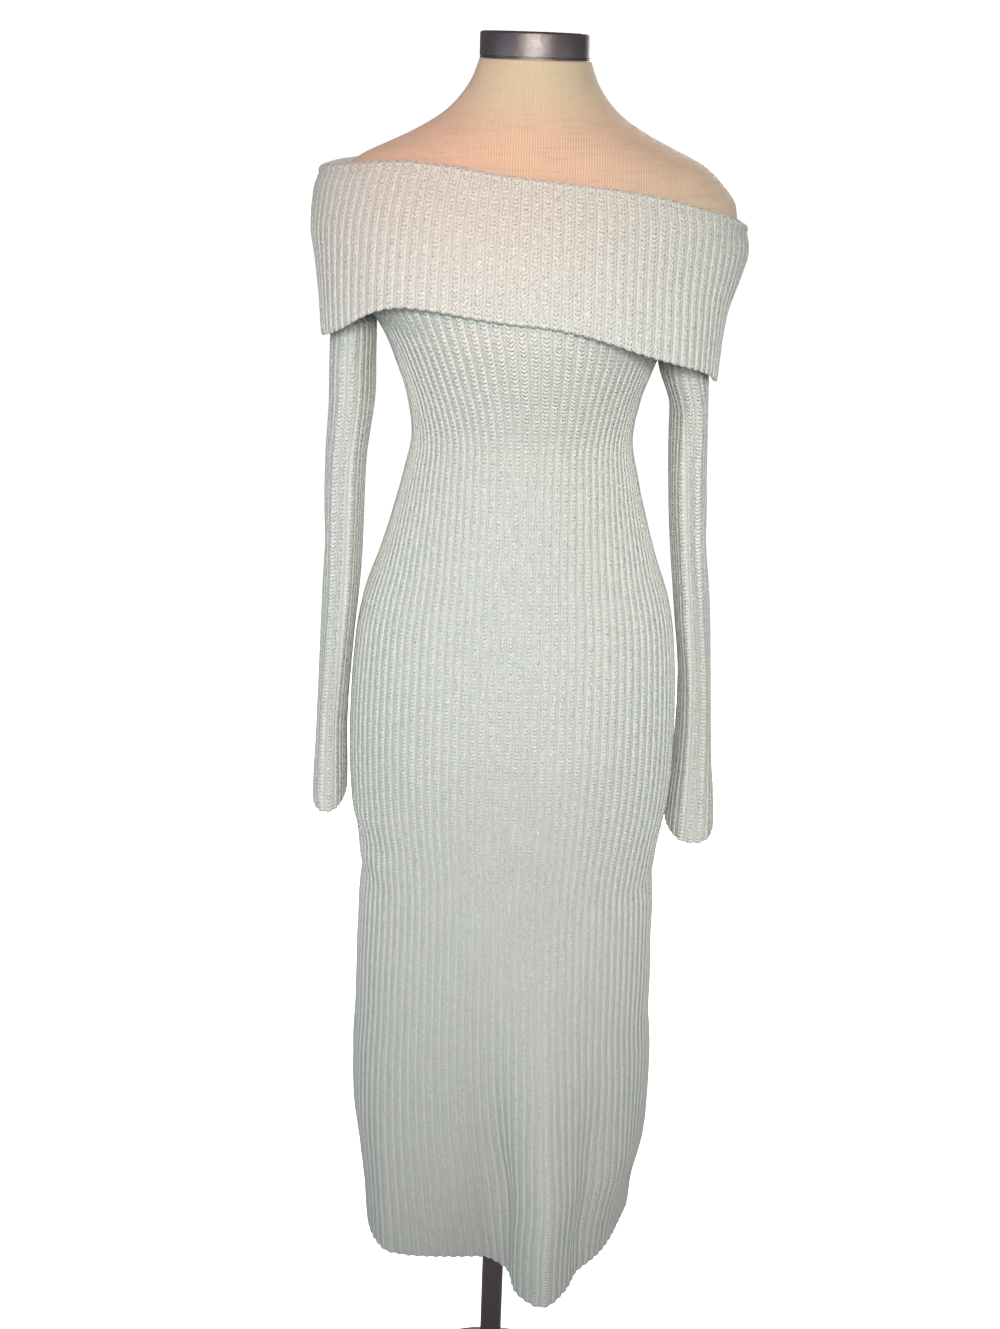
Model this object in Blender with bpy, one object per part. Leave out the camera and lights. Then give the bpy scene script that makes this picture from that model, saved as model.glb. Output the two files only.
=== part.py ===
"""Off-shoulder rib-knit dress on a limbless dress form with a pole stand.

Metres, +Z up. The origin is the centre of the stand's underside, and the front faces -Y.
Left and right are the wearer's, so the wearer's left is at +X. Angles run round the body
from the front, 0, to the wearer's left, 90, and the back, 180.
"""

import math

import bmesh
import bpy
import numpy as np

# Cloth
WALL = 0.0024
RIB_RELIEF = 0.0012
SEAM_GAP = 0.0004
LAYER_GAP = 0.0008
LAP_GAP = 0.0012
BODY_RIBS = 50
SLEEVE_RIBS = 24
COLLAR_RIBS = 96
BODY_PLAIN = 24
HEM_PLAIN = 40
SLEEVE_PLAIN = 24
COLLAR_PLAIN = 56
FINE_STEPS = 240

# Heights of the dress
HEM_HEIGHT = 0.28
FOLD_START = 0.76
FOLD_GROWTH = 1.5
SKIRT_TOP = 0.87
UNDERARM_HEIGHT = 1.345
NECKLINE_HEIGHT = 1.43

# Dress form and stand
CAP_RADIUS = 0.0505
CAP_BOTTOM = 1.5938
CAP_TOP = 1.617
CAP_ROUND = 0.003
FORM_BOTTOM = 0.815
POLE_RADIUS = 0.0125
FLANGE_RADIUS = 0.045
FLANGE_HEIGHT = 0.006
BASE_RADIUS = 0.150
BASE_EDGE = 0.008
BASE_HEIGHT = 0.014
HUB_RADIUS = 0.026
HUB_HEIGHT = 0.040
PART_GAP = 0.0003
FORM_STEPS = 48
ROUND_STEPS = 40

BODY_ROWS = (
    1.430, 1.385, 1.365, 1.345, 1.295, 1.245, 1.185, 1.100,
    1.010, 0.900, 0.790, 0.620, 0.470, 0.370, 0.280,
)  # fmt: skip
FORM_LOW_ROWS = (0.840, 0.822, 0.815)
FORM_HIGH_ROWS = (1.5935, 1.577, 1.560, 1.543, 1.528, 1.514, 1.502, 1.490, 1.477, 1.462)


def table(columns, *rows):
    """Named columns from rows of numbers, in rising order of the first column."""
    names = columns.split()
    ordered = sorted(rows)
    return {name: np.array([row[i] for row in ordered], float) for i, name in enumerate(names)}


# The dress form's sections: half width, and depth in front of and behind its axis
FIGURE = table(
    "height half_width front back power",
    (0.815, 0.134, 0.074, 0.084, 2.2),
    (0.822, 0.149, 0.087, 0.097, 2.2),
    (0.840, 0.158, 0.094, 0.105, 2.2),
    (0.868, 0.1625, 0.099, 0.112, 2.2),
    (0.913, 0.1645, 0.103, 0.118, 2.2),
    (0.950, 0.164, 0.105, 0.121, 2.2),
    (1.002, 0.1615, 0.105, 0.120, 2.2),
    (1.055, 0.156, 0.102, 0.115, 2.2),
    (1.089, 0.149, 0.099, 0.109, 2.15),
    (1.128, 0.135, 0.095, 0.101, 2.1),
    (1.177, 0.120, 0.089, 0.092, 2.1),
    (1.212, 0.111, 0.086, 0.087, 2.1),
    (1.252, 0.103, 0.085, 0.085, 2.1),
    (1.290, 0.108, 0.095, 0.088, 2.1),
    (1.320, 0.117, 0.107, 0.093, 2.1),
    (1.345, 0.126, 0.116, 0.098, 2.15),
    (1.360, 0.134, 0.120, 0.100, 2.15),
    (1.385, 0.154, 0.122, 0.103, 2.2),
    (1.410, 0.170, 0.118, 0.105, 2.2),
    (1.430, 0.182, 0.110, 0.105, 2.2),
    (1.448, 0.189, 0.102, 0.103, 2.2),
    (1.460, 0.192, 0.097, 0.100, 2.2),
    (1.473, 0.190, 0.091, 0.098, 2.2),
    (1.493, 0.175, 0.083, 0.093, 2.2),
    (1.508, 0.157, 0.077, 0.086, 2.2),
    (1.519, 0.134, 0.072, 0.080, 2.2),
    (1.533, 0.105, 0.066, 0.072, 2.1),
    (1.548, 0.081, 0.060, 0.064, 2.0),
    (1.562, 0.067, 0.056, 0.058, 2.0),
    (1.577, 0.057, 0.0525, 0.053, 2.0),
    (1.5935, 0.0505, 0.0505, 0.0505, 2.0),
)

# The gap between the dress form and the cloth over it, wider where the form turns quickly
LAYERS = table(
    "height gap",
    (0.80, LAYER_GAP),
    (1.25, LAYER_GAP),
    (1.33, 0.0022),
    (1.39, 0.0042),
    (1.45, 0.0038),
    (1.50, 0.0024),
)

# The skirt's inner face below the dress form, where the cloth hangs free
SKIRT = table(
    "height half_width front back centre_x power",
    (0.280, 0.157, 0.080, 0.088, 0.002, 2.3),
    (0.328, 0.158, 0.082, 0.088, 0.002, 2.3),
    (0.407, 0.165, 0.085, 0.090, 0.004, 2.3),
    (0.464, 0.168, 0.086, 0.092, 0.002, 2.2),
    (0.544, 0.166, 0.088, 0.095, 0.001, 2.2),
    (0.609, 0.161, 0.089, 0.098, 0.0, 2.2),
    (0.673, 0.159, 0.090, 0.101, 0.0, 2.2),
    (0.738, 0.156, 0.091, 0.104, 0.0, 2.2),
    (0.790, 0.154, 0.093, 0.107, 0.0, 2.2),
    (0.870, 0.1633, 0.100, 0.113, 0.0, 2.2),
)

# The hem's inner edge in plan, by share of the way round each panel
HEM_FRONT = table(
    "share x y",
    (0.000, -0.154, 0.062),
    (0.110, -0.146, 0.012),
    (0.190, -0.122, -0.027),
    (0.270, -0.088, -0.032),
    (0.360, -0.048, -0.031),
    (0.430, -0.012, -0.029),
    (0.490, 0.014, -0.050),
    (0.560, 0.028, -0.088),
    (0.620, 0.055, -0.107),
    (0.680, 0.079, -0.085),
    (0.760, 0.101, -0.049),
    (0.860, 0.131, -0.003),
    (1.000, 0.160, 0.070),
)
HEM_BACK = table(
    "share x y",
    (0.00, 0.160, 0.072),
    (0.09, 0.158, 0.104),
    (0.20, 0.124, 0.121),
    (0.32, 0.080, 0.108),
    (0.44, 0.030, 0.088),
    (0.56, -0.020, 0.098),
    (0.68, -0.062, 0.116),
    (0.80, -0.105, 0.112),
    (0.92, -0.143, 0.092),
    (1.00, -0.154, 0.064),
)

# How far the rows drop towards the wearer's left, how much closer the ribs lie at a panel's
# sides, and the angle from the middle of a panel to its side edge
PANEL = table(
    "height drop crowding reach",
    (0.280, 0.0, 0.0, 90.0),
    (1.000, 0.0, 0.0, 90.0),
    (1.090, 0.0, 0.05, 90.0),
    (1.180, 0.0, 0.18, 90.0),
    (1.250, 0.0, 0.27, 90.0),
    (1.345, 0.015, 0.30, 90.0),
    (1.365, 0.0165, 0.28, 77.0),
    (1.385, 0.018, 0.25, 71.0),
    (1.430, 0.020, 0.20, 55.0),
)

# Each sleeve's inner face: centre, half width across, half depth front to back, depth of
# the long fold in its front edge, and how far its front hangs below its back
SLEEVE_LEFT = table(
    "height centre_x centre_y half_width half_depth fold dip",
    (0.830, 0.1950, 0.026, 0.0235, 0.050, 0.005, 0.007),
    (0.855, 0.1945, 0.025, 0.0220, 0.049, 0.007, 0.006),
    (0.920, 0.1925, 0.023, 0.0160, 0.046, 0.008, 0.0),
    (1.000, 0.1880, 0.018, 0.0135, 0.044, 0.009, 0.0),
    (1.080, 0.1790, 0.013, 0.0150, 0.043, 0.010, 0.0),
    (1.160, 0.1695, 0.009, 0.0155, 0.044, 0.011, 0.0),
    (1.240, 0.1630, 0.005, 0.0155, 0.047, 0.010, 0.0),
    (1.330, 0.1585, 0.0, 0.0140, 0.050, 0.0, 0.0),
)
SLEEVE_RIGHT = table(
    "height centre_x centre_y half_width half_depth fold dip",
    (0.864, 0.1900, -0.004, 0.0145, 0.045, 0.003, 0.005),
    (0.890, 0.1893, -0.004, 0.0140, 0.045, 0.005, 0.003),
    (0.950, 0.1870, -0.004, 0.0122, 0.043, 0.006, 0.0),
    (1.030, 0.1820, -0.004, 0.0135, 0.042, 0.007, 0.0),
    (1.116, 0.1758, -0.003, 0.0158, 0.043, 0.008, 0.0),
    (1.219, 0.1722, -0.002, 0.0168, 0.046, 0.008, 0.0),
    (1.298, 0.1652, -0.001, 0.0190, 0.049, 0.004, 0.0),
    (1.360, 0.1650, 0.0, 0.0175, 0.048, 0.0, 0.0),
)
SLEEVE_TUBE_ROWS = 7
SLEEVE_HEAD_LEFT = 0.1745
SLEEVE_HEAD_RIGHT = 0.1872
HEAD_OPEN = 0.47
FOLD_TURN = 88.0
FOLD_SPREAD = 27.0

# The collar's outer face, by share of the way from its fold to its lower edge
COLLAR = table(
    "share right left front back power",
    (0.00, 0.1880, 0.1985, 0.0930, 0.1060, 2.2),
    (0.06, 0.1965, 0.2030, 0.0985, 0.1110, 2.2),
    (0.17, 0.2020, 0.2060, 0.1060, 0.1160, 2.2),
    (0.36, 0.2040, 0.1990, 0.1180, 0.1200, 2.3),
    (0.56, 0.1995, 0.1895, 0.1280, 0.1210, 2.5),
    (0.78, 0.1955, 0.1850, 0.1340, 0.1210, 2.7),
    (1.00, 0.1932, 0.1830, 0.1370, 0.1200, 2.8),
)
COLLAR_OUTER_ROWS = (0.06, 0.22, 0.50, 1.0)
COLLAR_INNER_ROWS = 4
FOLD_DEPTH = 0.008
COLLAR_HOLLOW = 0.0020

# The collar's fold and its lower edge round the body
COLLAR_LINE = table(
    "angle top bottom",
    (-180.0, 1.494, 1.362),
    (-150.0, 1.502, 1.362),
    (-120.0, 1.503, 1.354),
    (-90.0, 1.500, 1.347),
    (-60.0, 1.504, 1.359),
    (-30.0, 1.508, 1.387),
    (0.0, 1.497, 1.377),
    (30.0, 1.486, 1.351),
    (60.0, 1.467, 1.332),
    (90.0, 1.458, 1.313),
    (120.0, 1.466, 1.325),
    (150.0, 1.482, 1.345),
)


def smooth(points, column, at):
    """Monotone cubic through one column of a table, at one value or an array of them."""
    x = points[list(points)[0]]
    y = points[column]
    slopes = np.diff(y) / np.diff(x)
    before = np.concatenate(([slopes[0]], slopes))
    after = np.concatenate((slopes, [slopes[-1]]))
    same_way = before * after > 0
    total = np.where(same_way, before + after, 1.0)
    tangents = np.where(same_way, 2.0 * before * after / total, 0.0)
    at = np.clip(np.asarray(at, float), x[0], x[-1])
    i = np.clip(np.searchsorted(x, at) - 1, 0, len(x) - 2)
    span = x[i + 1] - x[i]
    t = (at - x[i]) / span
    value = (2 * t**3 - 3 * t**2 + 1) * y[i] + (3 * t**2 - 2 * t**3) * y[i + 1]
    value += (t**3 - 2 * t**2 + t) * span * tangents[i]
    return value + (t**3 - t**2) * span * tangents[i + 1]


def round_smooth(points, column, angle):
    """Smooth value round the body from a table whose angles are evenly spaced."""
    values = points[column]
    step = 360.0 / len(values)
    place = (np.asarray(angle, float) - points["angle"][0]) / step
    i = np.floor(place).astype(int)
    t = place - i
    before, first, second, after = (values[(i + k) % len(values)] for k in (-1, 0, 1, 2))
    bend = 2 * before - 5 * first + 4 * second - after
    twist = 3 * (first - second) + after - before
    return first + 0.5 * t * (second - before + t * (bend + t * twist))


def rounded(angle, half_width, front, back, power):
    """Point of an oval section, with x across and y towards the back."""
    s = np.sin(np.radians(angle))
    c = np.cos(np.radians(angle))
    depth = np.where(c > 0, front, back)
    x = half_width * np.sign(s) * np.abs(s) ** (2.0 / power)
    y = -depth * np.sign(c) * np.abs(c) ** (2.0 / power)
    return x, y


def clearance(height):
    """Gap between the dress form and the cloth."""
    return smooth(LAYERS, "gap", height)


def figure_point(angle, height, gap):
    """A point a gap outside the dress form."""
    x, y = rounded(
        angle,
        smooth(FIGURE, "half_width", height) + gap,
        smooth(FIGURE, "front", height) + gap,
        smooth(FIGURE, "back", height) + gap,
        smooth(FIGURE, "power", height),
    )
    return np.stack([x, y, np.broadcast_to(height, x.shape)], -1)


def clear_of_figure(points, gap):
    """Moves points that are nearer to the dress form than a gap out to that gap."""
    x, y, z = points.T
    power = smooth(FIGURE, "power", z)
    width = smooth(FIGURE, "half_width", z) + gap
    depth = smooth(FIGURE, "back", z) + gap
    depth = np.where(y < 0, smooth(FIGURE, "front", z) + gap, depth)
    reach = (np.abs(x / width) ** power + np.abs(y / depth) ** power) ** (1.0 / power)
    push = np.maximum(1.0, 1.0 / reach)
    return np.stack([x * push, y * push, z], -1)


def row_height(row, angle):
    """Height of a row round the body, lower towards the wearer's left."""
    return row - smooth(PANEL, "drop", row) * np.sin(np.radians(angle))


def plan_normals(line, closed=False):
    """Outward directions in plan along a line that runs anticlockwise seen from above."""
    if closed:
        ring = line[:-1]
        along = np.roll(ring, -1, 0) - np.roll(ring, 1, 0)
        along = np.vstack([along, along[:1]])
    else:
        along = np.gradient(line, axis=0)
    normals = np.stack([along[:, 1], -along[:, 0], np.zeros(len(line))], -1)
    return normals / np.linalg.norm(normals, axis=1)[:, None]


def along_line(line, shares, closed=False):
    """Points and outward directions at shares of a line's length."""
    steps = np.linalg.norm(np.diff(line, axis=0), axis=1)
    length = np.concatenate(([0.0], np.cumsum(steps)))
    at = np.asarray(shares) * length[-1]
    normals = plan_normals(line, closed)
    points = np.stack([np.interp(at, length, line[:, i]) for i in range(3)], -1)
    turned = np.stack([np.interp(at, length, normals[:, i]) for i in range(3)], -1)
    return points, turned / np.linalg.norm(turned, axis=1)[:, None]


def skirt_line(row, angle):
    """The hanging skirt's inner face along one row, without its folds."""
    x, y = rounded(
        angle,
        smooth(SKIRT, "half_width", row),
        smooth(SKIRT, "front", row),
        smooth(SKIRT, "back", row),
        smooth(SKIRT, "power", row),
    )
    return np.stack([x + smooth(SKIRT, "centre_x", row), y, np.full(x.shape, row)], -1)


def panel_line(row, centre):
    """The inner face of the front, centre 0, or back, centre 180, along one row."""
    reach = smooth(PANEL, "reach", row)
    angle = np.linspace(centre - reach, centre + reach, FINE_STEPS + 1)
    if row >= SKIRT_TOP:
        height = row_height(row, angle)
        return figure_point(angle, height, clearance(height))
    even = np.linspace(0.0, 1.0, FINE_STEPS + 1)
    line = along_line(skirt_line(row, angle), even)[0]
    plain_hem = along_line(skirt_line(HEM_HEIGHT, angle), even)[0]
    hem = HEM_FRONT if centre == 0.0 else HEM_BACK
    folded = np.stack([smooth(hem, "x", even), smooth(hem, "y", even), plain_hem[:, 2]], -1)
    folded_hem = along_line(folded, even)[0]
    grown = np.clip((FOLD_START - row) / (FOLD_START - HEM_HEIGHT), 0.0, 1.0) ** FOLD_GROWTH
    return line + (folded_hem - plain_hem) * grown


def inner_shares(line, row):
    """Shares of a panel's line for its plain inner points, at even angles round the body."""
    if row < SKIRT_TOP:
        return np.linspace(0.0, 1.0, HEM_PLAIN + 1)
    steps = np.linalg.norm(np.diff(line, axis=0), axis=1)
    length = np.concatenate(([0.0], np.cumsum(steps)))
    return length[:: FINE_STEPS // BODY_PLAIN] / length[-1]


def trimmed(line, shares, gap):
    """Draws shares in from both ends of a line by a gap."""
    length = np.linalg.norm(np.diff(line, axis=0), axis=1).sum()
    return np.clip(shares, gap / length, 1.0 - gap / length)


def rib_heights(count):
    """Distance of the outer face from the inner one at each rib's groove and crest."""
    return WALL + RIB_RELIEF * (np.arange(2 * count + 1) % 2)


def rib_shares(count, crowding):
    """Even shares of a line, or ones that lie closer at its ends than in its middle."""
    side = np.linspace(-1.0, 1.0, 2 * count + 1)
    return 0.5 + 0.5 * ((1.0 + crowding) * side - crowding * side**3)


def wall_rows(line, ribs, plain, heights, closed=False):
    """Outer and inner points of a cloth wall along one line."""
    points, normals = along_line(line, ribs, closed)
    return points + normals * heights[:, None], along_line(line, plain, closed)[0]


def panel_grids(centre):
    """Outer and inner points of the front or back, a row for each height."""
    outer, inner = [], []
    for row in BODY_ROWS:
        line = panel_line(row, centre)
        ribs = trimmed(line, rib_shares(BODY_RIBS, smooth(PANEL, "crowding", row)), SEAM_GAP / 2)
        plain = trimmed(line, inner_shares(line, row), SEAM_GAP / 2)
        out, under = wall_rows(line, ribs, plain, rib_heights(BODY_RIBS))
        outer.append(out)
        inner.append(under)
    return outer, inner


def head_ends(row, side):
    """Where a sleeve's front and back edges lap the edges of the armhole, along one row."""
    reach = smooth(PANEL, "reach", row)
    angle = side * np.array([reach, 180.0 - reach])
    height = row_height(row, angle)
    return figure_point(angle, height, clearance(height) + WALL + RIB_RELIEF + LAP_GAP)


def head_line(row, side, sizes):
    """A sleeve's inner face along one row above the underarm, from front to back."""
    reach = smooth(PANEL, "reach", row)
    angle = np.linspace(reach, 180.0 - reach, FINE_STEPS + 1) * side
    height = row_height(row, angle)
    hugging = figure_point(angle, height, clearance(height))
    rise = (row - UNDERARM_HEIGHT) / (NECKLINE_HEIGHT - UNDERARM_HEIGHT)
    opened = min(1.0, rise / HEAD_OPEN)
    low = sizes["centre_x"][-1] + sizes["half_width"][-1]
    high = SLEEVE_HEAD_LEFT if side > 0 else SLEEVE_HEAD_RIGHT
    far = low + (high - low) * opened
    opened_row = UNDERARM_HEIGHT + HEAD_OPEN * (NECKLINE_HEIGHT - UNDERARM_HEIGHT)
    halves = []
    for end, widest, way in zip(head_ends(row, side), head_ends(opened_row, side), (-1.0, 1.0)):
        depth = sizes["half_depth"][-1] * (1.0 - opened) + abs(widest[1]) * opened
        start = math.asin(min(1.0, abs(end[1]) / depth))
        near = abs(end[0]) + (WALL + RIB_RELIEF) * (1.0 - opened)
        width = (far - near) / (1.0 + math.cos(start))
        turn = np.linspace(start, math.pi, FINE_STEPS // 2 + 1)
        x = side * (far - width - width * np.cos(turn))
        halves.append(np.stack([x, way * depth * np.sin(turn)], -1))
    standing = np.vstack([halves[0], halves[1][-2::-1]])
    standing = np.concatenate([standing, height[:, None]], 1)
    hug = max(0.0, (rise - HEAD_OPEN) / (1.0 - HEAD_OPEN))
    return standing + (hugging - standing) * hug


def tube_line(sizes, side, height):
    """A sleeve's inner face below the underarm, from its body side by its front."""
    get = {name: smooth(sizes, name, height) for name in sizes}
    turn = np.linspace(0.0, 360.0, FINE_STEPS + 1)
    radians = np.radians(turn)
    fold = get["fold"] * np.exp(-(((turn - FOLD_TURN) / FOLD_SPREAD) ** 2))
    x = side * (get["centre_x"] - get["half_width"] * np.cos(radians))
    y = get["centre_y"] - (get["half_depth"] - fold) * np.sin(radians)
    return np.stack([x, y, height - get["dip"] * np.sin(radians)], -1)


def sleeve_grids(sizes, side):
    """Outer and inner points of a sleeve, and the row where it closes into a tube."""
    heads = [row for row in BODY_ROWS if row > UNDERARM_HEIGHT]
    underarm = sizes["height"][-1]
    cuff = sizes["height"][0]
    lines = [head_line(row, side, sizes) for row in (*heads, UNDERARM_HEIGHT)]
    tube = np.linspace(underarm, cuff, SLEEVE_TUBE_ROWS)[1:]
    lines += [tube_line(sizes, side, height) for height in tube]
    outer, inner = [], []
    for number, line in enumerate(lines):
        shut = number >= len(heads)
        ordered = line if side > 0 else line[::-1]
        ribs = rib_shares(SLEEVE_RIBS, 0.0)
        plain = np.linspace(0.0, 1.0, SLEEVE_PLAIN + 1)
        if not shut:
            ribs = trimmed(ordered, ribs, SEAM_GAP / 2)
            plain = trimmed(ordered, plain, SEAM_GAP / 2)
        out, under = wall_rows(ordered, ribs, plain, rib_heights(SLEEVE_RIBS), shut)
        outer.append(out)
        inner.append(under)
    return outer, inner, len(heads)


def collar_outer(angle, level):
    """The collar's outer face at a share of the way from its fold to its lower edge."""
    wide = np.where(
        np.sin(np.radians(angle)) > 0,
        smooth(COLLAR, "left", level),
        smooth(COLLAR, "right", level),
    )
    x, y = rounded(
        angle,
        wide,
        smooth(COLLAR, "front", level),
        smooth(COLLAR, "back", level),
        smooth(COLLAR, "power", level),
    )
    top = round_smooth(COLLAR_LINE, "top", angle)
    bottom = round_smooth(COLLAR_LINE, "bottom", angle)
    line = np.stack([x, y, top + (bottom - top) * level], -1)
    return clear_of_figure(line, clearance(line[:, 2]) + 2 * WALL + RIB_RELIEF + COLLAR_HOLLOW)


def collar_inner(angle, level):
    """The collar's face against the form, from the neckline, 0, to below the fold, 1."""
    low = row_height(NECKLINE_HEIGHT, angle) + SEAM_GAP
    high = round_smooth(COLLAR_LINE, "top", angle) - FOLD_DEPTH
    height = low + (high - low) * level
    return figure_point(angle, height, clearance(height))


def ring_points(line, count, inward=0.0, ribs=False):
    """Evenly spaced points round a closed line, drawn in from it, with ribs or plain."""
    points, normals = along_line(line, np.linspace(0.0, 1.0, count + 1)[:-1], True)
    depth = inward - (RIB_RELIEF * (np.arange(count) % 2) if ribs else 0.0)
    return points - normals * np.reshape(depth, (-1, 1))


def collar_rings():
    """The collar's rings, from its seam up the form, over the fold and back underneath."""
    angle = np.linspace(-180.0, 180.0, FINE_STEPS + 1)
    levels = np.linspace(0.0, 1.0, COLLAR_INNER_ROWS)
    leg = [collar_inner(angle, level) for level in levels]
    shell = [collar_outer(angle, level) for level in COLLAR_OUTER_ROWS]
    crown = (leg[-1] + shell[0]) / 2.0
    crown[:, 2] = round_smooth(COLLAR_LINE, "top", angle)
    under_crown = crown - [0.0, 0.0, WALL]
    rings = [ring_points(line, COLLAR_PLAIN) for line in leg]
    rings.append(ring_points(crown, 2 * COLLAR_RIBS, 0.0, False))
    rings += [ring_points(line, 2 * COLLAR_RIBS, RIB_RELIEF, True) for line in shell]
    rings += [ring_points(line, COLLAR_PLAIN, RIB_RELIEF + WALL) for line in shell[::-1]]
    rings.append(ring_points(under_crown, COLLAR_PLAIN))
    rings += [ring_points(line, COLLAR_PLAIN, -WALL) for line in leg[::-1]]
    return rings


def form_rings():
    """The dress form's rings, from the neck down."""
    angle = np.linspace(0.0, 360.0, FORM_STEPS + 1)[:-1]
    rings = [figure_point(angle, np.full(angle.shape, height), 0.0) for height in FORM_HIGH_ROWS]
    for row in BODY_ROWS:
        if row >= SKIRT_TOP:
            rings.append(figure_point(angle, row_height(row, angle), 0.0))
    rings += [figure_point(angle, np.full(angle.shape, height), 0.0) for height in FORM_LOW_ROWS]
    return rings


def turned_rings(profile):
    """Rings of a turned part from its radii and heights, top to bottom."""
    angle = np.linspace(0.0, 2.0 * math.pi, ROUND_STEPS + 1)[:-1]
    across = np.stack([np.sin(angle), -np.cos(angle), 0.0 * angle], -1)
    return [across * radius + [0.0, 0.0, height] for radius, height in profile]


def new_object(name, bm, material):
    """Adds a mesh object with its faces pointing out."""
    bmesh.ops.recalc_face_normals(bm, faces=bm.faces)
    mesh = bpy.data.meshes.new(name)
    bm.to_mesh(mesh)
    bm.free()
    mesh.shade_smooth()
    mesh.set_sharp_from_angle(angle=math.radians(40))
    mesh.materials.append(material)
    part = bpy.data.objects.new(name, mesh)
    bpy.context.scene.collection.objects.link(part)
    return part


def zip_lines(bm, first, second):
    """Joins two lines of vertices, whose counts may differ, by the shorter diagonals."""
    i, j = 0, 0
    while i < len(first) - 1 or j < len(second) - 1:
        ahead = behind = math.inf
        if i < len(first) - 1:
            ahead = (first[i + 1].co - second[j].co).length
        if j < len(second) - 1:
            behind = (first[i].co - second[j + 1].co).length
        if ahead <= behind:
            bm.faces.new((first[i], first[i + 1], second[j]))
            i += 1
        else:
            bm.faces.new((first[i], second[j + 1], second[j]))
            j += 1


def join_lines(bm, upper, lower):
    """Joins two lines of vertices, by the same diagonals where their counts match."""
    if len(upper) != len(lower):
        zip_lines(bm, upper, lower)
        return
    for k in range(len(upper) - 1):
        bm.faces.new((upper[k], upper[k + 1], lower[k + 1]))
        bm.faces.new((upper[k], lower[k + 1], lower[k]))


def cloth_wall(name, outer, inner, material, closed_from=None):
    """A wall between two grids of points, open at its sides above the row where it closes."""
    bm = bmesh.new()
    rows = {"outer": [], "inner": []}
    for side, grid in (("outer", outer), ("inner", inner)):
        for number, points in enumerate(grid):
            shut = closed_from is not None and number >= closed_from
            row = [bm.verts.new(point) for point in (points[:-1] if shut else points)]
            rows[side].append([*row, row[0]] if shut else row)
        for number, (upper, lower) in enumerate(zip(rows[side], rows[side][1:])):
            joined = zip_lines if number < (closed_from or 0) else join_lines
            joined(bm, upper, lower)
    for end in (0, -1):
        zip_lines(bm, rows["outer"][end], rows["inner"][end])
    open_rows = len(outer) - 1 if closed_from is None else closed_from
    for end in (0, -1):
        for k in range(open_rows):
            upper, lower = rows["outer"][k][end], rows["outer"][k + 1][end]
            bm.faces.new((upper, lower, rows["inner"][k + 1][end], rows["inner"][k][end]))
    return new_object(name, bm, material)


def ring_solid(name, rings, material, looped=False):
    """A solid from closed rings, looped round a hollow or capped at both ends."""
    bm = bmesh.new()
    lines = []
    for ring in rings:
        line = [bm.verts.new(point) for point in ring]
        lines.append([*line, line[0]])
    for upper, lower in zip(lines, lines[1:]):
        join_lines(bm, upper, lower)
    if looped:
        join_lines(bm, lines[-1], lines[0])
    else:
        bm.faces.new(lines[0][:-1])
        bm.faces.new(lines[-1][:-1])
    return new_object(name, bm, material)


def new_material(name, colour, roughness, metallic=0.0):
    """A plain surface."""
    material = bpy.data.materials.new(name)
    material.use_nodes = True
    surface = material.node_tree.nodes["Principled BSDF"]
    surface.inputs["Base Color"].default_value = (*colour, 1.0)
    surface.inputs["Roughness"].default_value = roughness
    surface.inputs["Metallic"].default_value = metallic
    material.diffuse_color = (*colour, 1.0)
    return material


def main():
    for old in list(bpy.data.objects):
        bpy.data.objects.remove(old)
    knit = new_material("ivory_rib_knit", (0.72, 0.70, 0.65), 0.9)
    jersey = new_material("beige_jersey", (0.72, 0.55, 0.41), 0.85)
    steel = new_material("brushed_steel", (0.62, 0.60, 0.58), 0.35, 1.0)

    cloth_wall("dress_front", *panel_grids(0.0), knit)
    cloth_wall("dress_back", *panel_grids(180.0), knit)
    for name, sizes, side in (
        ("sleeve_left", SLEEVE_LEFT, 1.0),
        ("sleeve_right", SLEEVE_RIGHT, -1.0),
    ):
        outer, inner, closed_from = sleeve_grids(sizes, side)
        cloth_wall(name, outer, inner, knit, closed_from)
    ring_solid("collar", collar_rings(), knit, looped=True)

    ring_solid("form_torso", form_rings(), jersey)
    cap = (
        (CAP_RADIUS - CAP_ROUND, CAP_TOP),
        (CAP_RADIUS - CAP_ROUND / 3, CAP_TOP - CAP_ROUND / 3),
        (CAP_RADIUS, CAP_TOP - CAP_ROUND),
        (CAP_RADIUS, CAP_BOTTOM),
    )
    ring_solid("neck_cap", turned_rings(cap), steel)
    pole_top = FORM_BOTTOM - PART_GAP
    pole = (
        (FLANGE_RADIUS, pole_top),
        (FLANGE_RADIUS, pole_top - FLANGE_HEIGHT),
        (POLE_RADIUS, pole_top - FLANGE_HEIGHT),
        (POLE_RADIUS, HUB_HEIGHT + PART_GAP),
    )
    ring_solid("stand_pole", turned_rings(pole), steel)
    base = (
        (HUB_RADIUS - CAP_ROUND, HUB_HEIGHT),
        (HUB_RADIUS, HUB_HEIGHT - CAP_ROUND),
        (HUB_RADIUS, BASE_HEIGHT),
        (BASE_RADIUS - CAP_ROUND, BASE_EDGE),
        (BASE_RADIUS, BASE_EDGE - CAP_ROUND),
        (BASE_RADIUS, 0.0),
    )
    ring_solid("stand_base", turned_rings(base), steel)


if __name__ == "__main__":
    main()
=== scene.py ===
"""Looks of an off-shoulder rib-knit dress on a dress form.

Metres, +Z up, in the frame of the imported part. The front faces -Y and the wearer's left is
at +X. The tables and the functions that shape the cloth repeat those of part.py. What differs
is that the ends of the back's hem lie 2 mm further forward, so that the side seams don't open
towards the hem, that the collar has 110 ribs and not 96, and that the walls have finer rows,
rounded ribs and creases.
"""

import math

import bmesh
import bpy
import numpy as np
from mathutils import Matrix, Vector


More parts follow.
